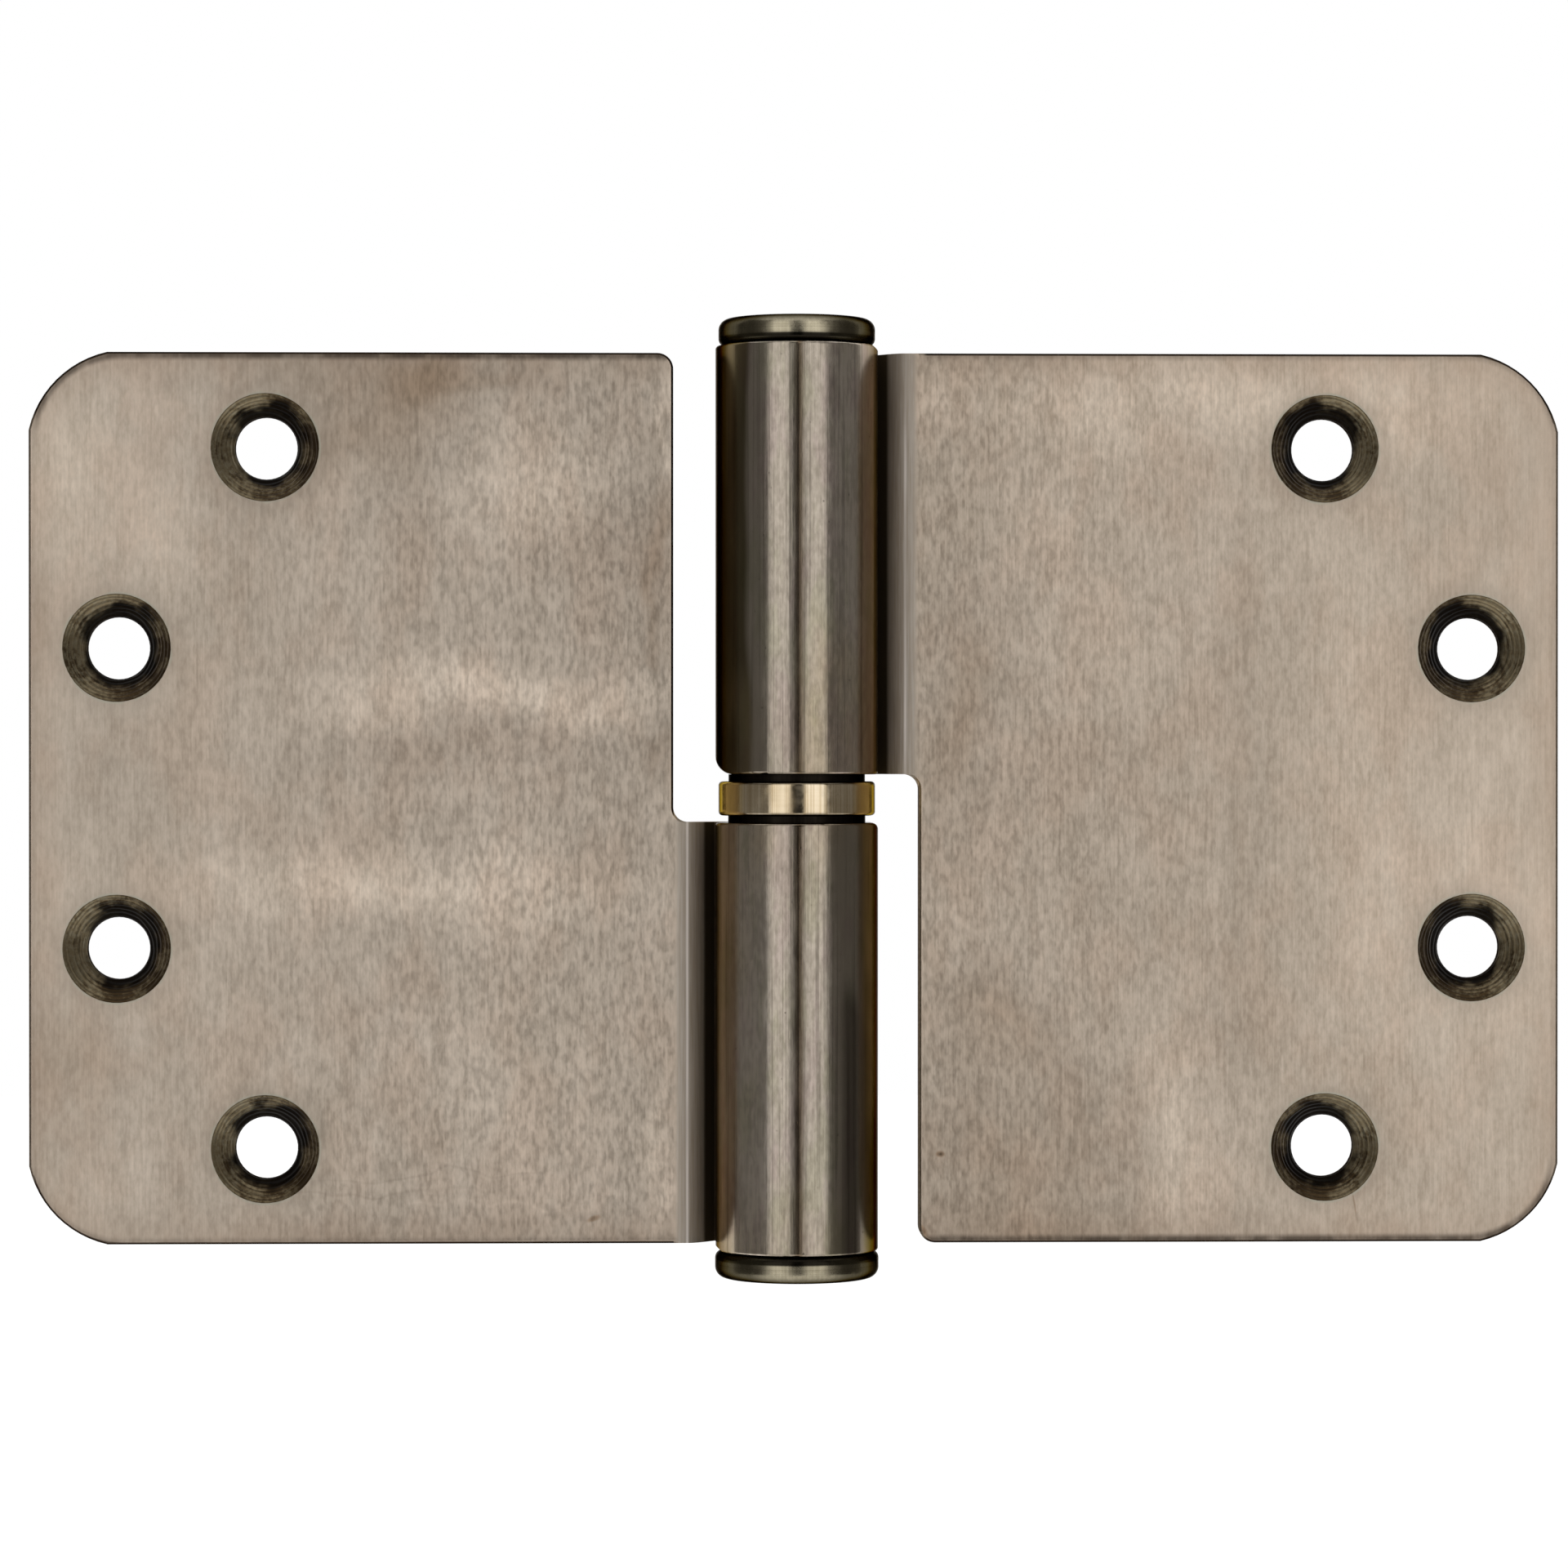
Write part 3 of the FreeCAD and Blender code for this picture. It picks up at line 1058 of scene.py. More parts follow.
@dataclass(frozen=True)
class DarkCountersink:
    """The cone of a countersink, with marks of the cutter: its dark olive and brown tones are
    painted reflection, black towards the bore as painted shade.

    The side setting is 1 where painted shade makes the cones darker towards +X, and -1 where it
    makes them darker towards -X.
    """

    name: str
    holes: tuple[Span, ...]
    shaded_side: float
    olive: Colour = tone(128, 115, 90)
    brown: Colour = tone(70, 56, 38)
    black: Colour = tone(14, 10, 7)
    grey_green: Colour = tone(146, 140, 120)
    lip_shade: Colour = tone(40, 36, 28)
    cloud_size: float = 2.3
    pit_spacing: float = 0.5
    pit_share: float = 0.2
    relief_depth: float = 0.02
    bore_radius: float = 3.1
    rim_radius: float = 5.4

    def build(self, effects: Effects) -> bpy.types.Material:
        """Wire the material.

        Args:
            effects: The shared effects.

        Returns:
            The finished material.
        """
        surface = Surface(self.name)
        wiring, spot = surface.wiring, surface.spot
        near, lean, high = FAR_AWAY, 0.0, 0.0
        for x, z in self.holes:
            offset = wiring.stretch(spot, (1.0, 0.0, 1.0), (-x, 0.0, -z))
            away = wiring.length(offset)
            near = wiring.sum(Sum.LEAST, away, near)
            right, _, up = wiring.split(offset)
            # Painted shade and reflection: darker towards one side of each cone.
            slope = wiring.plus(wiring.times(right, 0.9 * self.shaded_side), wiring.times(up, -0.3))
            here = wiring.fade(away, self.rim_radius + 0.5, self.rim_radius + 1.0, 1.0, 0.0)
            lean = wiring.plus(wiring.times(slope, here), lean)
            high = wiring.plus(wiring.times(up, here), high)
        cloud = wiring.place(effects.cloud, Place=spot, Size=self.cloud_size)
        pits = wiring.place(
            effects.pits, Place=spot, Spacing=self.pit_spacing, Share=self.pit_share
        )
        marks = wiring.noise(wiring.join(wiring.times(near, 5.0), cloud["Cloud"], 0.0))
        share = wiring.plus(
            wiring.fade(cloud["Cloud"], 0.35, 0.65, 0.0, 0.6),
            wiring.fade(marks, 0.3, 0.7, 0.0, 0.4),
            wiring.fade(lean, -4.5, 2.0, 0.45, -0.3),
            wiring.fade(cloud["Blotch"], 0.3, 0.7, -0.3, 0.3),
        )
        grey = wiring.times(
            wiring.fade(cloud["Blotch"], 0.42, 0.72), wiring.fade(lean, -4.0, 0.5, 0.6, 0.0)
        )
        depth = wiring.plus(
            near,
            wiring.fade(cloud["Cloud"], 0.25, 0.75, -0.5, 0.5),
            wiring.fade(lean, -4.0, 2.0, 0.5, -0.2),
            wiring.fade(high, 0.5, 3.4, 0.0, -0.85),
        )
        bore, rim = self.bore_radius, self.rim_radius
        # Painted shade: black towards the bore and a dark line at the rim; the black pits are real.
        colour = wiring.coats(
            wiring.paint(wiring.fade(share, 0.0, 1.1), self.brown, self.olive),
            (grey, self.grey_green),
            (wiring.fade(depth, bore + 0.25, bore + 1.35, 0.96, 0.0), self.black),
            (wiring.fade(near, rim - 0.14, rim - 0.02, 0.0, 0.6), self.lip_shade),
            (wiring.times(pits["Pit"], 0.5), self.black),
        )
        surface.set(Base_Color=colour, Metallic=1.0)
        surface.set(Roughness=wiring.fade(marks, 0.3, 0.7, 0.28, 0.5))
        surface.relief(marks, self.relief_depth, 0.6)
        return surface.material


@dataclass(frozen=True)
class MouldedSleeve:
    """The pale plastic of the sleeve in the upper knuckle."""

    name: str
    pale: Colour = tone(208, 203, 190)
    worn: Colour = tone(168, 158, 138)

    def build(self, effects: Effects) -> bpy.types.Material:
        """Wire the material.

        Args:
            effects: The shared effects.

        Returns:
            The finished material.
        """
        surface = Surface(self.name)
        wiring, spot = surface.wiring, surface.spot
        cloud = wiring.place(effects.cloud, Place=spot, Size=4.0)
        grain = wiring.place(effects.grain, Place=spot, Across=2.0, Along=0.3)
        share = wiring.times(cloud["Blotch"], grain["Hair"])
        colour = wiring.paint(wiring.fade(share, 0.1, 0.4), self.pale, self.worn)
        surface.set(Base_Color=colour, Metallic=0.0)
        surface.set(Roughness=wiring.fade(cloud["Blotch"], 0.3, 0.7, 0.38, 0.55))
        surface.relief(grain["Dash"], 0.01, 0.4)
        return surface.material


def baked(
    obj: bpy.types.Object, tree: bpy.types.NodeTree, values: dict[str, object]
) -> bpy.types.Object:
    """Run a geometry tree on an object and keep its result as a plain mesh.

    Args:
        obj: The object, whose own mesh is the tree's input.
        tree: The geometry tree.
        values: The tree's inputs by name.

    Returns:
        The same object with the finished mesh and no modifier.
    """
    modifier = obj.modifiers.new(tree.name, "NODES")
    modifier.node_group = tree
    for item in tree.interface.items_tree:
        if item.item_type == "SOCKET" and item.in_out == "INPUT" and item.name in values:
            modifier[item.identifier] = values[item.name]
    bpy.context.view_layer.update()
    graph = bpy.context.evaluated_depsgraph_get()
    mesh = bpy.data.meshes.new_from_object(obj.evaluated_get(graph), depsgraph=graph)
    obj.modifiers.clear()
    obj.data = mesh
    mesh.name = obj.name
    return obj


class GeometryTree:
    """A geometry node tree in the making, with named inputs."""

    def __init__(self, name: str, numbers: dict[str, float], counts: dict[str, int]) -> None:
        """Make the tree and its sockets.

        Args:
            name: The tree's name.
            numbers: Inputs that are sizes or angles, with their usual values.
            counts: Inputs that are whole numbers, with their usual values.
        """
        self.tree = bpy.data.node_groups.new(name, "GeometryNodeTree")
        face = self.tree.interface
        face.new_socket("Geometry", in_out="INPUT", socket_type="NodeSocketGeometry")
        for group, kind in ((numbers, "NodeSocketFloat"), (counts, "NodeSocketInt")):
            for label, value in group.items():
                face.new_socket(label, in_out="INPUT", socket_type=kind).default_value = value
        face.new_socket("Finish", in_out="INPUT", socket_type="NodeSocketMaterial")
        face.new_socket("Geometry", in_out="OUTPUT", socket_type="NodeSocketGeometry")
        self.wiring = Wiring(self.tree)
        self.inlet = self.wiring.add("NodeGroupInput").outputs

    def finish(self, shape: Socket) -> bpy.types.NodeTree:
        """Realize, smooth and dress a shape as the tree's result.

        Args:
            shape: The geometry, instances or mesh.

        Returns:
            The finished tree.
        """
        for kind in ("RealizeInstances", "SetShadeSmooth", "SetMaterial"):
            node = self.wiring.add(f"GeometryNode{kind}")
            self.wiring.feed(node.inputs["Geometry"], shape)
            shape = node.outputs[0]
        self.wiring.feed(node.inputs["Material"], self.inlet["Finish"])
        out = self.wiring.add("NodeGroupOutput")
        self.wiring.feed(out.inputs["Geometry"], shape)
        return self.tree


def ball_ring_tree() -> bpy.types.NodeTree:
    """The tree that lays a full ring of balls about the pin.

    Returns:
        The geometry tree.
    """
    sizes = {"Track Radius": 0.005, "Ball Radius": 0.001, "Start": 0.0}
    made = GeometryTree("ball_ring", sizes, {"Balls": 14, "Segments": 40, "Rings": 24})
    wiring, inlet = made.wiring, made.inlet
    track = wiring.add("GeometryNodeMeshCircle", fill_type="NONE")
    wiring.feed(track.inputs["Vertices"], inlet["Balls"])
    wiring.feed(track.inputs["Radius"], inlet["Track Radius"])
    turned = wiring.add("GeometryNodeTransform")
    wiring.feed(turned.inputs["Geometry"], track.outputs[0])
    wiring.feed(turned.inputs["Rotation"], wiring.join(0.0, 0.0, inlet["Start"]))
    ball = wiring.add("GeometryNodeMeshUVSphere")
    wiring.feed(ball.inputs["Segments"], inlet["Segments"])
    wiring.feed(ball.inputs["Rings"], inlet["Rings"])
    wiring.feed(ball.inputs["Radius"], inlet["Ball Radius"])
    ring = wiring.add("GeometryNodeInstanceOnPoints")
    wiring.feed(ring.inputs["Points"], turned.outputs[0])
    wiring.feed(ring.inputs["Instance"], ball.outputs[0])
    return made.finish(ring.outputs[0])


def countersink_tree() -> bpy.types.NodeTree:
    """The tree that lines each countersink with a thin turned cone, closed all round.

    The grid's X goes along the cone's front from bore to rim and back underneath, and its Y
    goes round. Cutter marks are shallow grooves that wander a little as they go round.

    Returns:
        The geometry tree.
    """
    sizes = {
        "Bore Radius": 0.0031, "Rim Radius": 0.0054, "Face Level": 0.0015, "Lift": 0.00003,
        "Sunk": 0.0002, "Groove Depth": 0.00003, "Grooves": 7.0, "Front Share": 0.85,
    }
    counts = {"Steps Along": 61, "Steps Round": 97, "Seed": 4}
    made = GeometryTree("turned_countersinks", sizes, counts)
    wiring, inlet = made.wiring, made.inlet
    grid = wiring.add("GeometryNodeMeshGrid")
    grid.inputs["Size X"].default_value = 1.0
    grid.inputs["Size Y"].default_value = 1.0
    wiring.feed(grid.inputs["Vertices X"], inlet["Steps Along"])
    wiring.feed(grid.inputs["Vertices Y"], inlet["Steps Round"])
    x, y, _ = wiring.split(wiring.add("GeometryNodeInputPosition").outputs[0])
    along = wiring.plus(x, 0.5)
    angle = wiring.times(y, 2 * math.pi)
    cosine = wiring.sum(Sum.ROUND_WAVE, angle)
    sine = wiring.sum(Sum.WAVE, angle)

    def line(value: Socket, *ends: Feed) -> Socket:
        """Follow a value in a straight line from one pair of ends to another, and stop there.

        Args:
            value: What is followed.
            *ends: Where it starts and ends, and the level at each.

        Returns:
            The level's socket.
        """
        node = wiring.add("ShaderNodeMapRange", interpolation_type="LINEAR")
        for socket, number in zip(node.inputs, (value, *ends)):
            wiring.feed(socket, number)
        return node.outputs[0]

    share, bore, rim = inlet["Front Share"], inlet["Bore Radius"], inlet["Rim Radius"]
    out = line(along, 0.0, share, bore, rim)
    home = line(along, share, 1.0, 0.0, wiring.sum(Sum.TAKE, rim, bore))
    radius = wiring.sum(Sum.TAKE, out, home)
    under = line(along, share, wiring.plus(share, 0.02), 0.0, 1.0)
    start = line(along, 0.0, 0.02, 1.0, 0.0)
    sunk = wiring.sum(Sum.MOST, under, start)
    wander = wiring.noise(wiring.join(cosine, sine, wiring.times(along, 3.0)), 1.3, 2.0, 0.5)
    turns = wiring.times(along, inlet["Grooves"], 2 * math.pi)
    wave = wiring.sum(Sum.WAVE, wiring.plus(turns, wiring.times(wander, 9.0)))
    groove = wiring.times(wiring.plus(wave, 1.0), wiring.times(inlet["Groove Depth"], 0.5))
    lift = wiring.plus(inlet["Lift"], groove)
    lift = wiring.sum(Sum.TAKE, lift, wiring.times(sunk, wiring.plus(lift, inlet["Sunk"])))
    # The cone has 90 degrees, so a lift off its face goes as far inwards as forwards.
    slant = wiring.times(lift, math.sqrt(0.5))
    level = wiring.plus(inlet["Face Level"], wiring.sum(Sum.TAKE, rim, radius))
    reach = wiring.sum(Sum.TAKE, radius, slant)
    place = wiring.join(
        wiring.times(cosine, reach), wiring.sum(Sum.TAKE, level, slant), wiring.times(sine, reach)
    )
    cone = wiring.add("GeometryNodeSetPosition")
    wiring.feed(cone.inputs["Geometry"], grid.outputs[0])
    wiring.feed(cone.inputs["Position"], place)
    closed = wiring.add("GeometryNodeMergeByDistance")
    wiring.feed(closed.inputs["Geometry"], cone.outputs[0])
    closed.inputs["Distance"].default_value = SAME_POINT
    spin = wiring.add("FunctionNodeRandomValue", data_type="FLOAT")
    spin.inputs[2].default_value = 0.0
    spin.inputs[3].default_value = 2 * math.pi
    wiring.feed(spin.inputs["Seed"], inlet["Seed"])
    lined = wiring.add("GeometryNodeInstanceOnPoints")
    wiring.feed(lined.inputs["Points"], inlet["Geometry"])
    wiring.feed(lined.inputs["Instance"], closed.outputs[0])
    wiring.feed(lined.inputs["Rotation"], wiring.join(0.0, spin.outputs[1], 0.0))
    return made.finish(lined.outputs[0])


def point_object(name: str, points: list[tuple[float, float, float]]) -> bpy.types.Object:
    """An object whose mesh is only points, for a tree to build on.

    Args:
        name: The piece's name.
        points: The points, in metres.

    Returns:
        The object, linked into the scene.
    """
    mesh = bpy.data.meshes.new(name)
    mesh.from_pydata(points, [], [])
    return placed(name, mesh)


def dress(node: str, material: bpy.types.Material) -> str:
    """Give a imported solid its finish.

    Args:
        node: The solid's name.
        material: The finish.

    Returns:
        A line for the report.
    """
    for slot in frame["nodes"][node].material_slots:
        slot.material = material
    return f"{node}: finish {material.name}"


def screw_places(side: Side) -> tuple[Span, ...]:
    """Where the four screw holes of one leaf are, from the record's mounts.

    Args:
        side: Which leaf.

    Returns:
        Each hole's X and Z in millimetres.
    """
    places = []
    for mount in frame["record"]["mounts"]:
        if mount["kind"] == "bolt_pattern" and mount["name"].startswith(side.value):
            half = mount["dims"]["spacing_y_mm"] / 2
            for way in (1, -1):
                places.append((mount["pos_m"][0] / MM, way * half))
    return tuple(places)


@dataclass
class Leaf:
    """One leaf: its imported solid, and the turned linings of its four countersinks."""

    side: Side
    light_patches: tuple[LightPatch, ...]
    linings: bpy.types.NodeTree
    looks: dict[str, object] = field(default_factory=dict)
    bore_radius: float = 3.1
    rim_radius: float = 5.4
    face_level: float = 1.5
    lining_lift: float = 0.03
    groove_depth: float = 0.03

    def build(self, effects: Effects) -> list[str]:
        """Dress the sheet and line its countersinks.

        Args:
            effects: The shared effects.

        Returns:
            A line for the report on each piece.
        """
        name, holes = self.side.value, screw_places(self.side)
        far_side = 1.0 if self.side is Side.FRAME else -1.0
        sheet = BrushedSheet(
            f"brushed_{name}_sheet", self.light_patches, holes, far_side, **self.looks
        ).build(effects)
        finish = DarkCountersink(f"{name}_countersink", holes, far_side).build(effects)
        lining = point_object(f"{name}_countersinks", [(x * MM, 0.0, z * MM) for x, z in holes])
        baked(lining, self.linings, {
            "Bore Radius": self.bore_radius * MM, "Rim Radius": self.rim_radius * MM,
            "Face Level": self.face_level * MM, "Lift": self.lining_lift * MM,
            "Groove Depth": self.groove_depth * MM, "Finish": finish,
        })
        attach(lining, f"{name}_side")
        return [
            dress(f"{name}_leaf", sheet),
            f"{lining.name}: {len(lining.data.polygons)} faces, finish {finish.name}",
        ]


@dataclass
class Bearing:
    """The thrust bearing: ring of balls, two races and the bright shell.

    The pitches are those of the turned rings on each, in millimetres.
    """

    ball_segments: int = 40
    ball_rows: int = 24
    ball_pitch: float = 0.3
    race_pitch: float = 0.1
    shell_pitch: float = 0.5
    shell_nose: Span = (1.3, 1.6)
    shell_flanks: Span = (0.66, 0.84)

    def build(self, effects: Effects) -> list[str]:
        """Make the ring of balls and dress the turned rings.

        Args:
            effects: The shared effects.

        Returns:
            A line for the report on each piece.
        """
        # The races are near-black steel as painted shade, for the narrow gaps between the knuckles
        # where they show.
        races = TurnedSteel(
            "races_in_painted_shade", tone(40, 35, 29), tone(14, 11, 9), tone(10, 8, 6),
            flank_share=0.7, ring_pitch=self.race_pitch, rough=0.34, depth=0.004,
        ).build(effects)
        # The shell's golden flanks are painted reflection, and its dark nose is painted shade.
        shell = TurnedSteel(
            "bright_shell", tone(218, 203, 178), tone(166, 146, 112), tone(244, 214, 142),
            flank_share=0.95, flank_range=self.shell_flanks,
            nose=self.shell_nose, nose_shade=tone(28, 22, 14),
            ring_pitch=self.shell_pitch, ring_share=0.08, line_share=0.57,
            rough=0.14, depth=0.001,
        ).build(effects)
        return [
            self.build_balls(effects),
            dress("lower_race", races), dress("upper_race", races), dress("bearing_shell", shell),
        ]

    def build_balls(self, effects: Effects) -> str:
        """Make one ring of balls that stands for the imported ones, where they are.

        Args:
            effects: The shared effects.

        Returns:
            A line for the report.
        """
        polished = TurnedSteel(
            "polished_balls", tone(214, 214, 212), tone(176, 176, 174), tone(176, 176, 174),
            flank_share=0.0, ring_pitch=self.ball_pitch, rough=0.1, depth=0.001,
            grazing=tone(250, 250, 250),
        ).build(effects)
        balls = sorted(name for name in frame["nodes"] if name.startswith("ball_"))
        low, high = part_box(balls[0])
        centre = (low + high) / 2
        ring = point_object("ball_ring", [ORIGIN])
        baked(ring, ball_ring_tree(), {
            "Track Radius": math.hypot(centre.x, centre.y), "Ball Radius": (high - low).z / 2,
            "Start": math.atan2(centre.y, centre.x), "Balls": len(balls),
            "Segments": self.ball_segments, "Rings": self.ball_rows, "Finish": polished,
        })
        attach(ring, "ball_set")
        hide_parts(*balls)
        return f"{ring.name}: {len(balls)} balls, {len(ring.data.polygons)} faces"


@dataclass
class PinAndCaps:
    """What is pressed into the knuckles: pin, sleeve and two caps.

    The pitches are those of the turned rings, in millimetres. The caps' groove and nose are
    heights above or below the bearing.
    """

    pin_pitch: float = 0.12
    cap_pitch: float = 0.22
    cap_groove: Span = (45.75, 45.95)
    cap_nose: Span = (46.9, 47.6)
    cap_flanks: Span = (0.25, 0.62)

    def build(self, effects: Effects) -> list[str]:
        """Dress the pin, the sleeve and the caps.

        Args:
            effects: The shared effects.

        Returns:
            A line for the report on each piece.
        """
        pin = TurnedSteel(
            "ground_pin", tone(196, 192, 184), tone(150, 146, 138), tone(150, 146, 138),
            flank_share=0.0, ring_pitch=self.pin_pitch, rough=0.18, depth=0.003,
            grazing=tone(235, 232, 226),
        ).build(effects)
        sleeve = MouldedSleeve("pale_sleeve").build(effects)
        # The caps take painted shade in the groove under the head and on the nose, and a dark
        # painted reflection on the flanks.
        caps = TurnedSteel(
            "dull_caps", tone(182, 173, 150), tone(116, 108, 88), tone(62, 57, 44),
            flank_share=0.85, flank_range=self.cap_flanks, groove=self.cap_groove,
            nose=self.cap_nose, nose_shade=tone(52, 48, 37),
            ring_pitch=self.cap_pitch, rough=0.24, depth=0.01,
        ).build(effects)
        return [
            dress("hinge_pin", pin), dress("pin_bush", sleeve),
            dress("lower_cap", caps), dress("upper_cap", caps),
        ]


@dataclass(frozen=True)
class Flag:
    """A grey screen that stands round the hinge from one azimuth to another, in degrees."""

    name: str
    start: float
    end: float
    strength: float


@dataclass
class Studio:
    """Camera, pale floor, white surroundings, two soft lamps and the flags; sizes in metres."""

    camera_place: tuple[float, float, float] = (-0.013929, -0.4997, 0.004144)
    camera_pitch: float = -0.311
    camera_yaw: float = -1.451
    lens: float = 115.15
    sensor_width: float = 36.0
    world_light: float = 0.75
    floor_level: float = -0.3
    floor_half: float = 4.0
    floor_tone: Colour = tone(246, 246, 246)
    floor_glow: float = 0.4
    flags: tuple[Flag, ...] = (
        Flag("flag_middle", -10.0, 9.0, 0.015),
        Flag("flag_left", -100.0, -43.0, 0.2),
        Flag("flag_right", 43.0, 100.0, 0.2),
    )
    flag_tone: Colour = (1.0, 0.96, 0.9, 1.0)
    flag_radius: float = 0.6
    flag_top: float = 0.7
    flag_panels: int = 12
    lamp_azimuths: tuple[float, ...] = (-25.0, 25.0)
    lamp_elevation: float = 12.0
    lamp_size: Span = (0.5, 0.8)
    lamp_watts: float = 0.6

    def build(self) -> list[str]:
        """Set up everything round the hinge.

        Returns:
            A line for the report.
        """
        bpy.context.scene.view_settings.view_transform = "Standard"
        self.build_camera()
        self.build_world()
        self.build_floor()
        for flag in self.flags:
            self.build_flag(flag)
        for azimuth in self.lamp_azimuths:
            self.build_lamp(azimuth)
        return [f"studio: {len(self.flags)} flags, {len(self.lamp_azimuths)} lamps"]

    def build_camera(self) -> None:
        """Put the camera where the photograph was taken from."""
        data = bpy.data.cameras.new("camera")
        data.lens = self.lens
        data.sensor_width = self.sensor_width
        data.clip_start = 0.01
        camera = placed("camera", data)
        camera.location = self.camera_place
        pitch, yaw = math.radians(90 + self.camera_pitch), math.radians(self.camera_yaw)
        camera.rotation_euler = (pitch, 0.0, yaw)
        bpy.context.scene.camera = camera

    def seen(self, wiring: Wiring) -> Socket:
        """Tell what the camera, a gloss or a glass sees from other light.

        Args:
            wiring: The wiring of a material or world.

        Returns:
            1 for what is seen, and 0 for other light.
        """
        path = wiring.add("ShaderNodeLightPath").outputs
        seen = wiring.sum(Sum.MOST, path["Is Camera Ray"], path["Is Glossy Ray"])
        return wiring.sum(Sum.MOST, seen, path["Is Transmission Ray"])

    def build_world(self) -> None:
        """White where it is seen, and a plain pale light otherwise."""
        world = bpy.data.worlds.new("white_surroundings")
        wiring = emptied(world)
        light = wiring.add("ShaderNodeBackground")
        light.inputs["Color"].default_value = WHITE
        strength = wiring.fade(self.seen(wiring), 0.0, 1.0, self.world_light, 1.0)
        wiring.feed(light.inputs["Strength"], strength)
        out = wiring.add("ShaderNodeOutputWorld")
        wiring.feed(out.inputs["Surface"], light.outputs[0])
        bpy.context.scene.world = world

    def staged(
        self, name: str, finish: str, points: list[tuple], faces: list[tuple]
    ) -> tuple[bpy.types.Object, Wiring, Socket]:
        """Make a piece of the surroundings, which isn't part of the hinge.

        Args:
            name: Its name.
            finish: Its material's name.
            points: Its mesh's points.
            faces: Its mesh's faces.

        Returns:
            The object, its material's wiring and the socket that takes its shader.
        """
        mesh = bpy.data.meshes.new(name)
        mesh.from_pydata(points, [], faces)
        material = bpy.data.materials.new(finish)
        mesh.materials.append(material)
        obj = placed(name, mesh)
        wiring = emptied(material)
        return obj, wiring, wiring.add("ShaderNodeOutputMaterial").inputs["Surface"]

    def build_floor(self) -> None:
        """A plain pale floor below the hinge."""
        half, level = self.floor_half, self.floor_level
        signs = ((-1, -1), (1, -1), (1, 1), (-1, 1))
        corners = [(x * half, y * half, level) for x, y in signs]
        _, wiring, out = self.staged("floor", "pale_floor", corners, [(0, 1, 2, 3)])
        matt = wiring.add("ShaderNodeBsdfDiffuse")
        matt.inputs["Color"].default_value = self.floor_tone
        white = wiring.add("ShaderNodeEmission")
        glow = wiring.fade(self.seen(wiring), 0.0, 1.0, 0.0, self.floor_glow)
        wiring.feed(white.inputs["Strength"], glow)
        both = wiring.add("ShaderNodeAddShader")
        wiring.feed(both.inputs[0], matt.outputs[0])
        wiring.feed(both.inputs[1], white.outputs[0])
        wiring.feed(out, both.outputs[0])

    def build_flag(self, flag: Flag) -> None:
        """One grey flag beside or between the lamps, which only glossy metal shows.

        Args:
            flag: The flag.
        """
        points = []
        for index in range(self.flag_panels + 1):
            share = index / self.flag_panels
            angle = math.radians(flag.start + (flag.end - flag.start) * share)
            x, y = self.flag_radius * math.sin(angle), -self.flag_radius * math.cos(angle)
            points += [(x, y, self.floor_level + MM), (x, y, self.flag_top)]
        faces = [(i, i + 2, i + 3, i + 1) for i in range(0, 2 * self.flag_panels, 2)]
        obj, wiring, out = self.staged(flag.name, flag.name, points, faces)
        grey = wiring.add("ShaderNodeEmission")
        grey.inputs["Color"].default_value = self.flag_tone
        grey.inputs["Strength"].default_value = flag.strength
        wiring.feed(out, grey.outputs[0])
        obj.visible_camera = obj.visible_diffuse = False
        obj.visible_transmission = obj.visible_shadow = False

    def build_lamp(self, azimuth: float) -> None:
        """One soft lamp that faces the hinge from a metre away.

        Args:
            azimuth: Its angle from the front towards +X, in degrees.
        """
        data = bpy.data.lights.new("soft_lamp", "AREA")
        data.shape = "RECTANGLE"
        data.size, data.size_y = self.lamp_size
        data.energy = self.lamp_watts
        lamp = placed("soft_lamp", data)
        turn, rise = math.radians(azimuth), math.radians(self.lamp_elevation)
        place = (math.sin(turn) * math.cos(rise), -math.cos(turn) * math.cos(rise), math.sin(rise))
        lamp.location = place
        lamp.rotation_euler = Vector(place).to_track_quat("Z", "Y").to_euler()
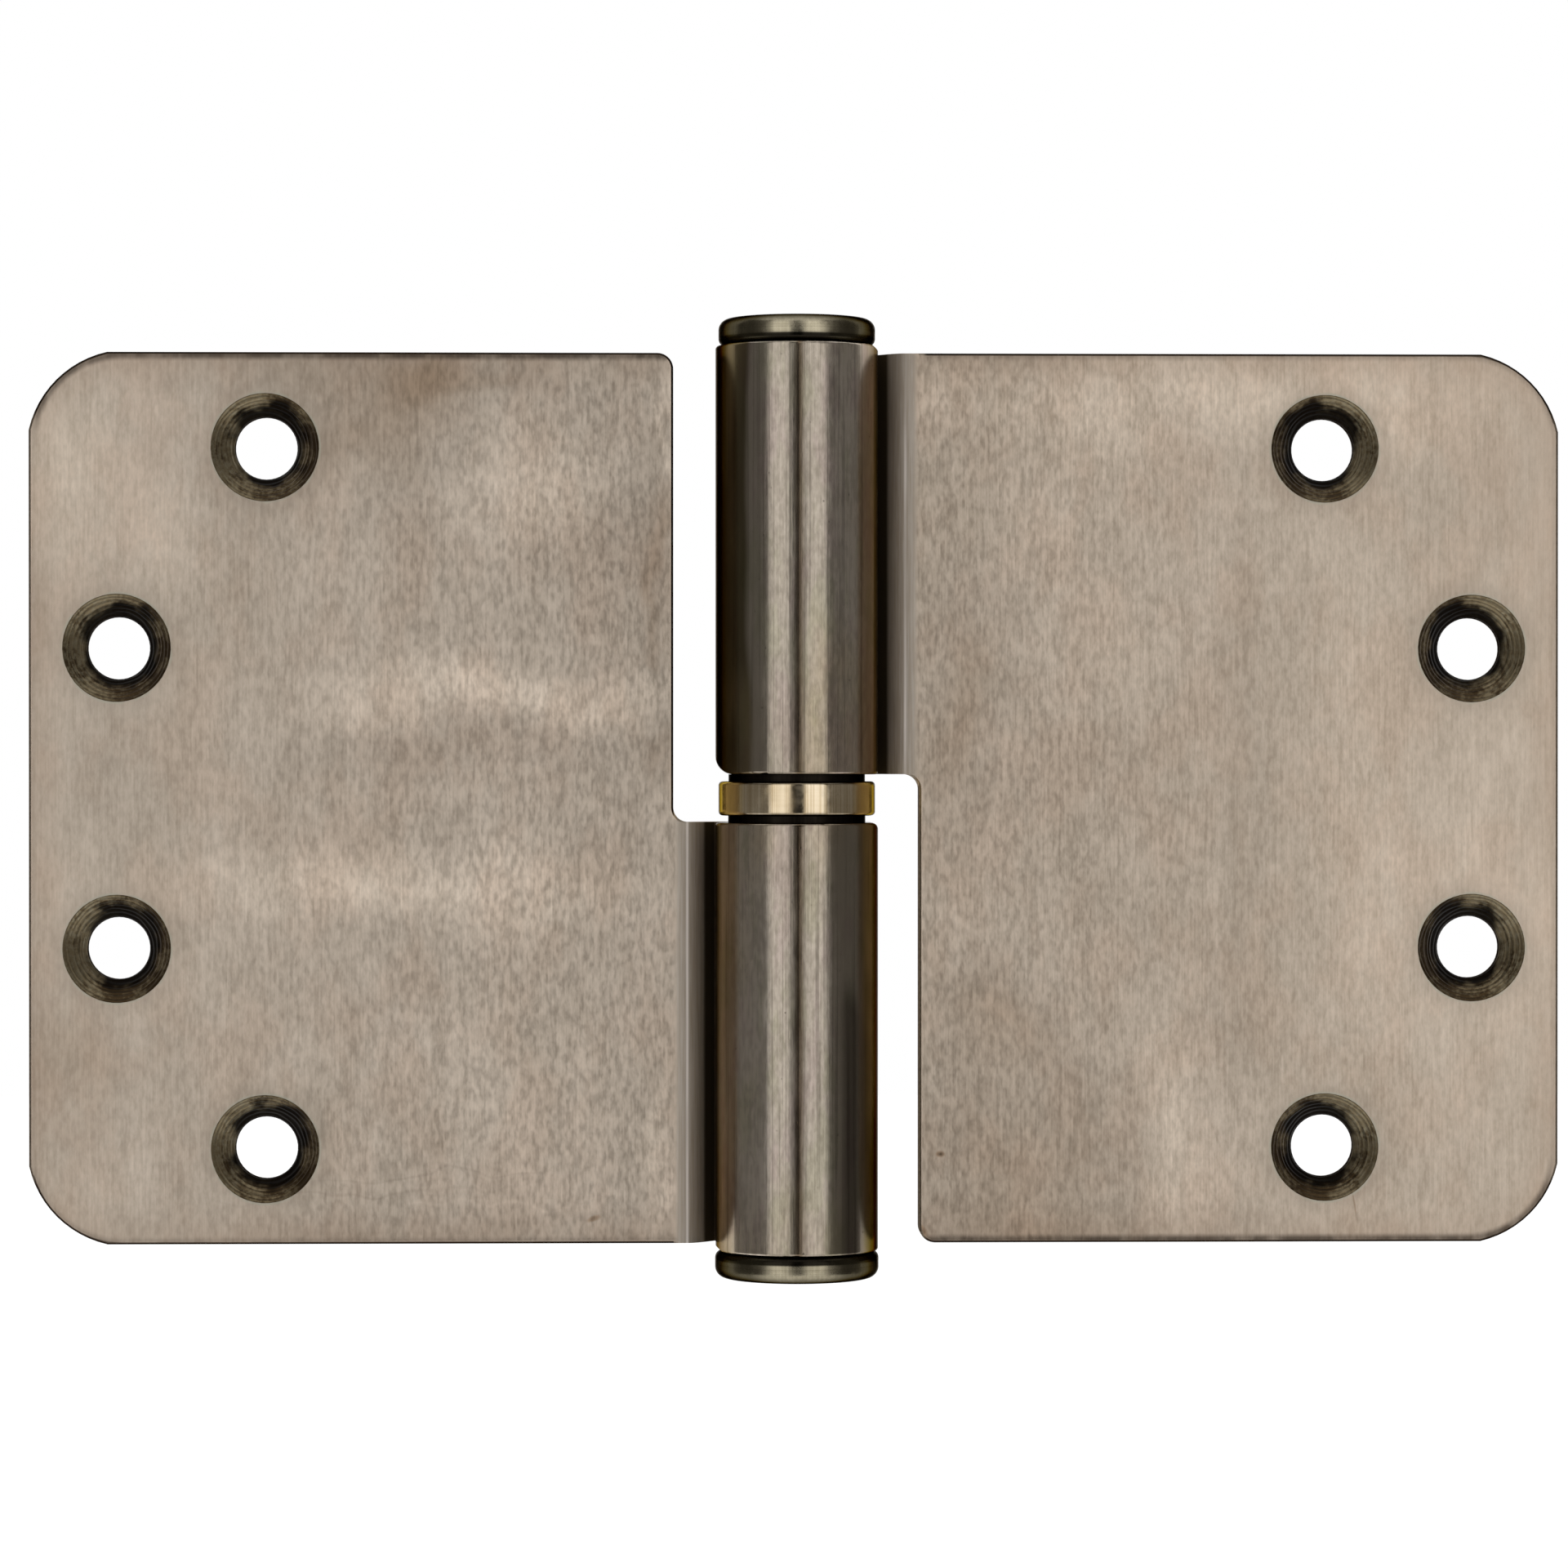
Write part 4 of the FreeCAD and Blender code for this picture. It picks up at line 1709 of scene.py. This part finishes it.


# Patches of painted light and painted shade on each leaf's front, which also stand for the sheet's
# uneven tone: pale bands, streaks by the notch edges, dark strips by the top and bottom edges and
# small painted shadows at corners.
FRAME_LIGHT_PATCHES = (
    LightPatch(-61.6, 26.0, 9.0, 10.0, 0.16),
    LightPatch(-73.0, 31.6, 9.0, 13.0, 0.3),
    LightPatch(-39.6, 38.0, 16.0, 12.0, -0.24),
    LightPatch(-37.0, 41.5, 6.5, 4.5, -0.2),
    LightPatch(-28.0, 40.5, 10.0, 2.5, -0.12),
    LightPatch(-52.6, 31.6, 14.0, 10.0, -0.12),
    LightPatch(-26.5, 31.6, 10.0, 8.5, 0.38),
    LightPatch(-16.0, 27.5, 6.0, 10.0, -0.12),
    LightPatch(-29.0, 10.4, 27.0, 4.4, 0.42),
    LightPatch(-34.0, 5.0, 28.0, 4.0, -0.12),
    LightPatch(-38.8, -8.0, 30.0, 5.5, 0.42),
    LightPatch(-25.0, -11.5, 13.0, 4.5, 0.15),
    LightPatch(-72.0, -26.0, 9.0, 14.0, -0.2),
    LightPatch(-26.5, -26.4, 16.0, 20.0, 0.12),
    LightPatch(-14.4, 16.0, 1.5, 24.0, -0.2),
    LightPatch(-69.0, 3.0, 9.0, 10.0, -0.1),
    LightPatch(-40.0, -44.0, 45.0, 5.5, -0.1),
    LightPatch(-55.0, 44.0, 32.0, 5.5, -0.1),
    LightPatch(-13.2, 37.0, 1.1, 9.0, 0.3),
    LightPatch(-13.3, -36.0, 1.3, 12.0, 0.3),
    LightPatch(-36.0, -37.4, 19.0, 0.3, -0.12),
    LightPatch(-44.0, -39.2, 22.0, 0.3, -0.12),
    LightPatch(-28.0, -40.6, 14.0, 0.3, 0.1),
    LightPatch(-19.6, -42.4, 1.2, 0.3, -0.5),
)
# The door leaf's looks; on its knuckle the painted flank reflection and painted shade outline start
# nearer the middle and are darker.
DOOR_LOOKS = {
    "grain_reach": 0.2, "flank_reflection_start": 0.54, "outline_start": 0.84, "heavy_edge": (-30.0, -42.0),
    "inner_side": 0.1,
    "far_flank_reflection": tone(156, 147, 135),
    "flank_reflection": tone(84, 75, 55), "flank_reflection_pale": tone(122, 110, 84),
    "pale": tone(218, 203, 186), "dark": tone(149, 135, 118),
}
DOOR_LIGHT_PATCHES = (
    LightPatch(40.0, 40.5, 44.0, 8.0, 0.34),
    LightPatch(16.7, 8.7, 8.0, 19.0, -0.22),
    LightPatch(32.0, 15.0, 9.0, 9.0, 0.12),
    LightPatch(70.6, -6.0, 15.0, 40.0, 0.09),
    LightPatch(76.0, 0.0, 3.2, 34.0, 0.12),
    LightPatch(28.0, 31.0, 20.0, 13.0, 0.1),
    LightPatch(56.7, -2.0, 8.0, 34.0, 0.12),
    LightPatch(22.4, -37.0, 18.0, 16.0, -0.2),
    LightPatch(19.7, -21.6, 9.0, 9.0, -0.2),
    LightPatch(38.3, -34.5, 5.0, 17.0, 0.22),
    LightPatch(32.0, -44.0, 26.0, 5.0, -0.1),
    LightPatch(44.5, -2.0, 3.4, 38.0, -0.14),
    LightPatch(13.6, -35.8, 0.5, 0.4, -0.8),
    LightPatch(57.0, -41.2, 0.2, 1.6, -0.4),
    LightPatch(12.5, -44.3, 0.8, 0.8, -1.1),
)


def main() -> None:
    """Build the sub-assemblies in order and report each piece."""
    logging.basicConfig(level=logging.INFO, format="%(name)s %(message)s")
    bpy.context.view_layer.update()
    effects, linings = Effects(), countersink_tree()
    for assembly in (
        Leaf(Side.FRAME, FRAME_LIGHT_PATCHES, linings),
        Leaf(Side.DOOR, DOOR_LIGHT_PATCHES, linings, DOOR_LOOKS),
        Bearing(),
        PinAndCaps(),
    ):
        for piece in assembly.build(effects):
            LOG.info(piece)
    for piece in Studio().build():
        LOG.info(piece)


if __name__ == "__main__":
    main()
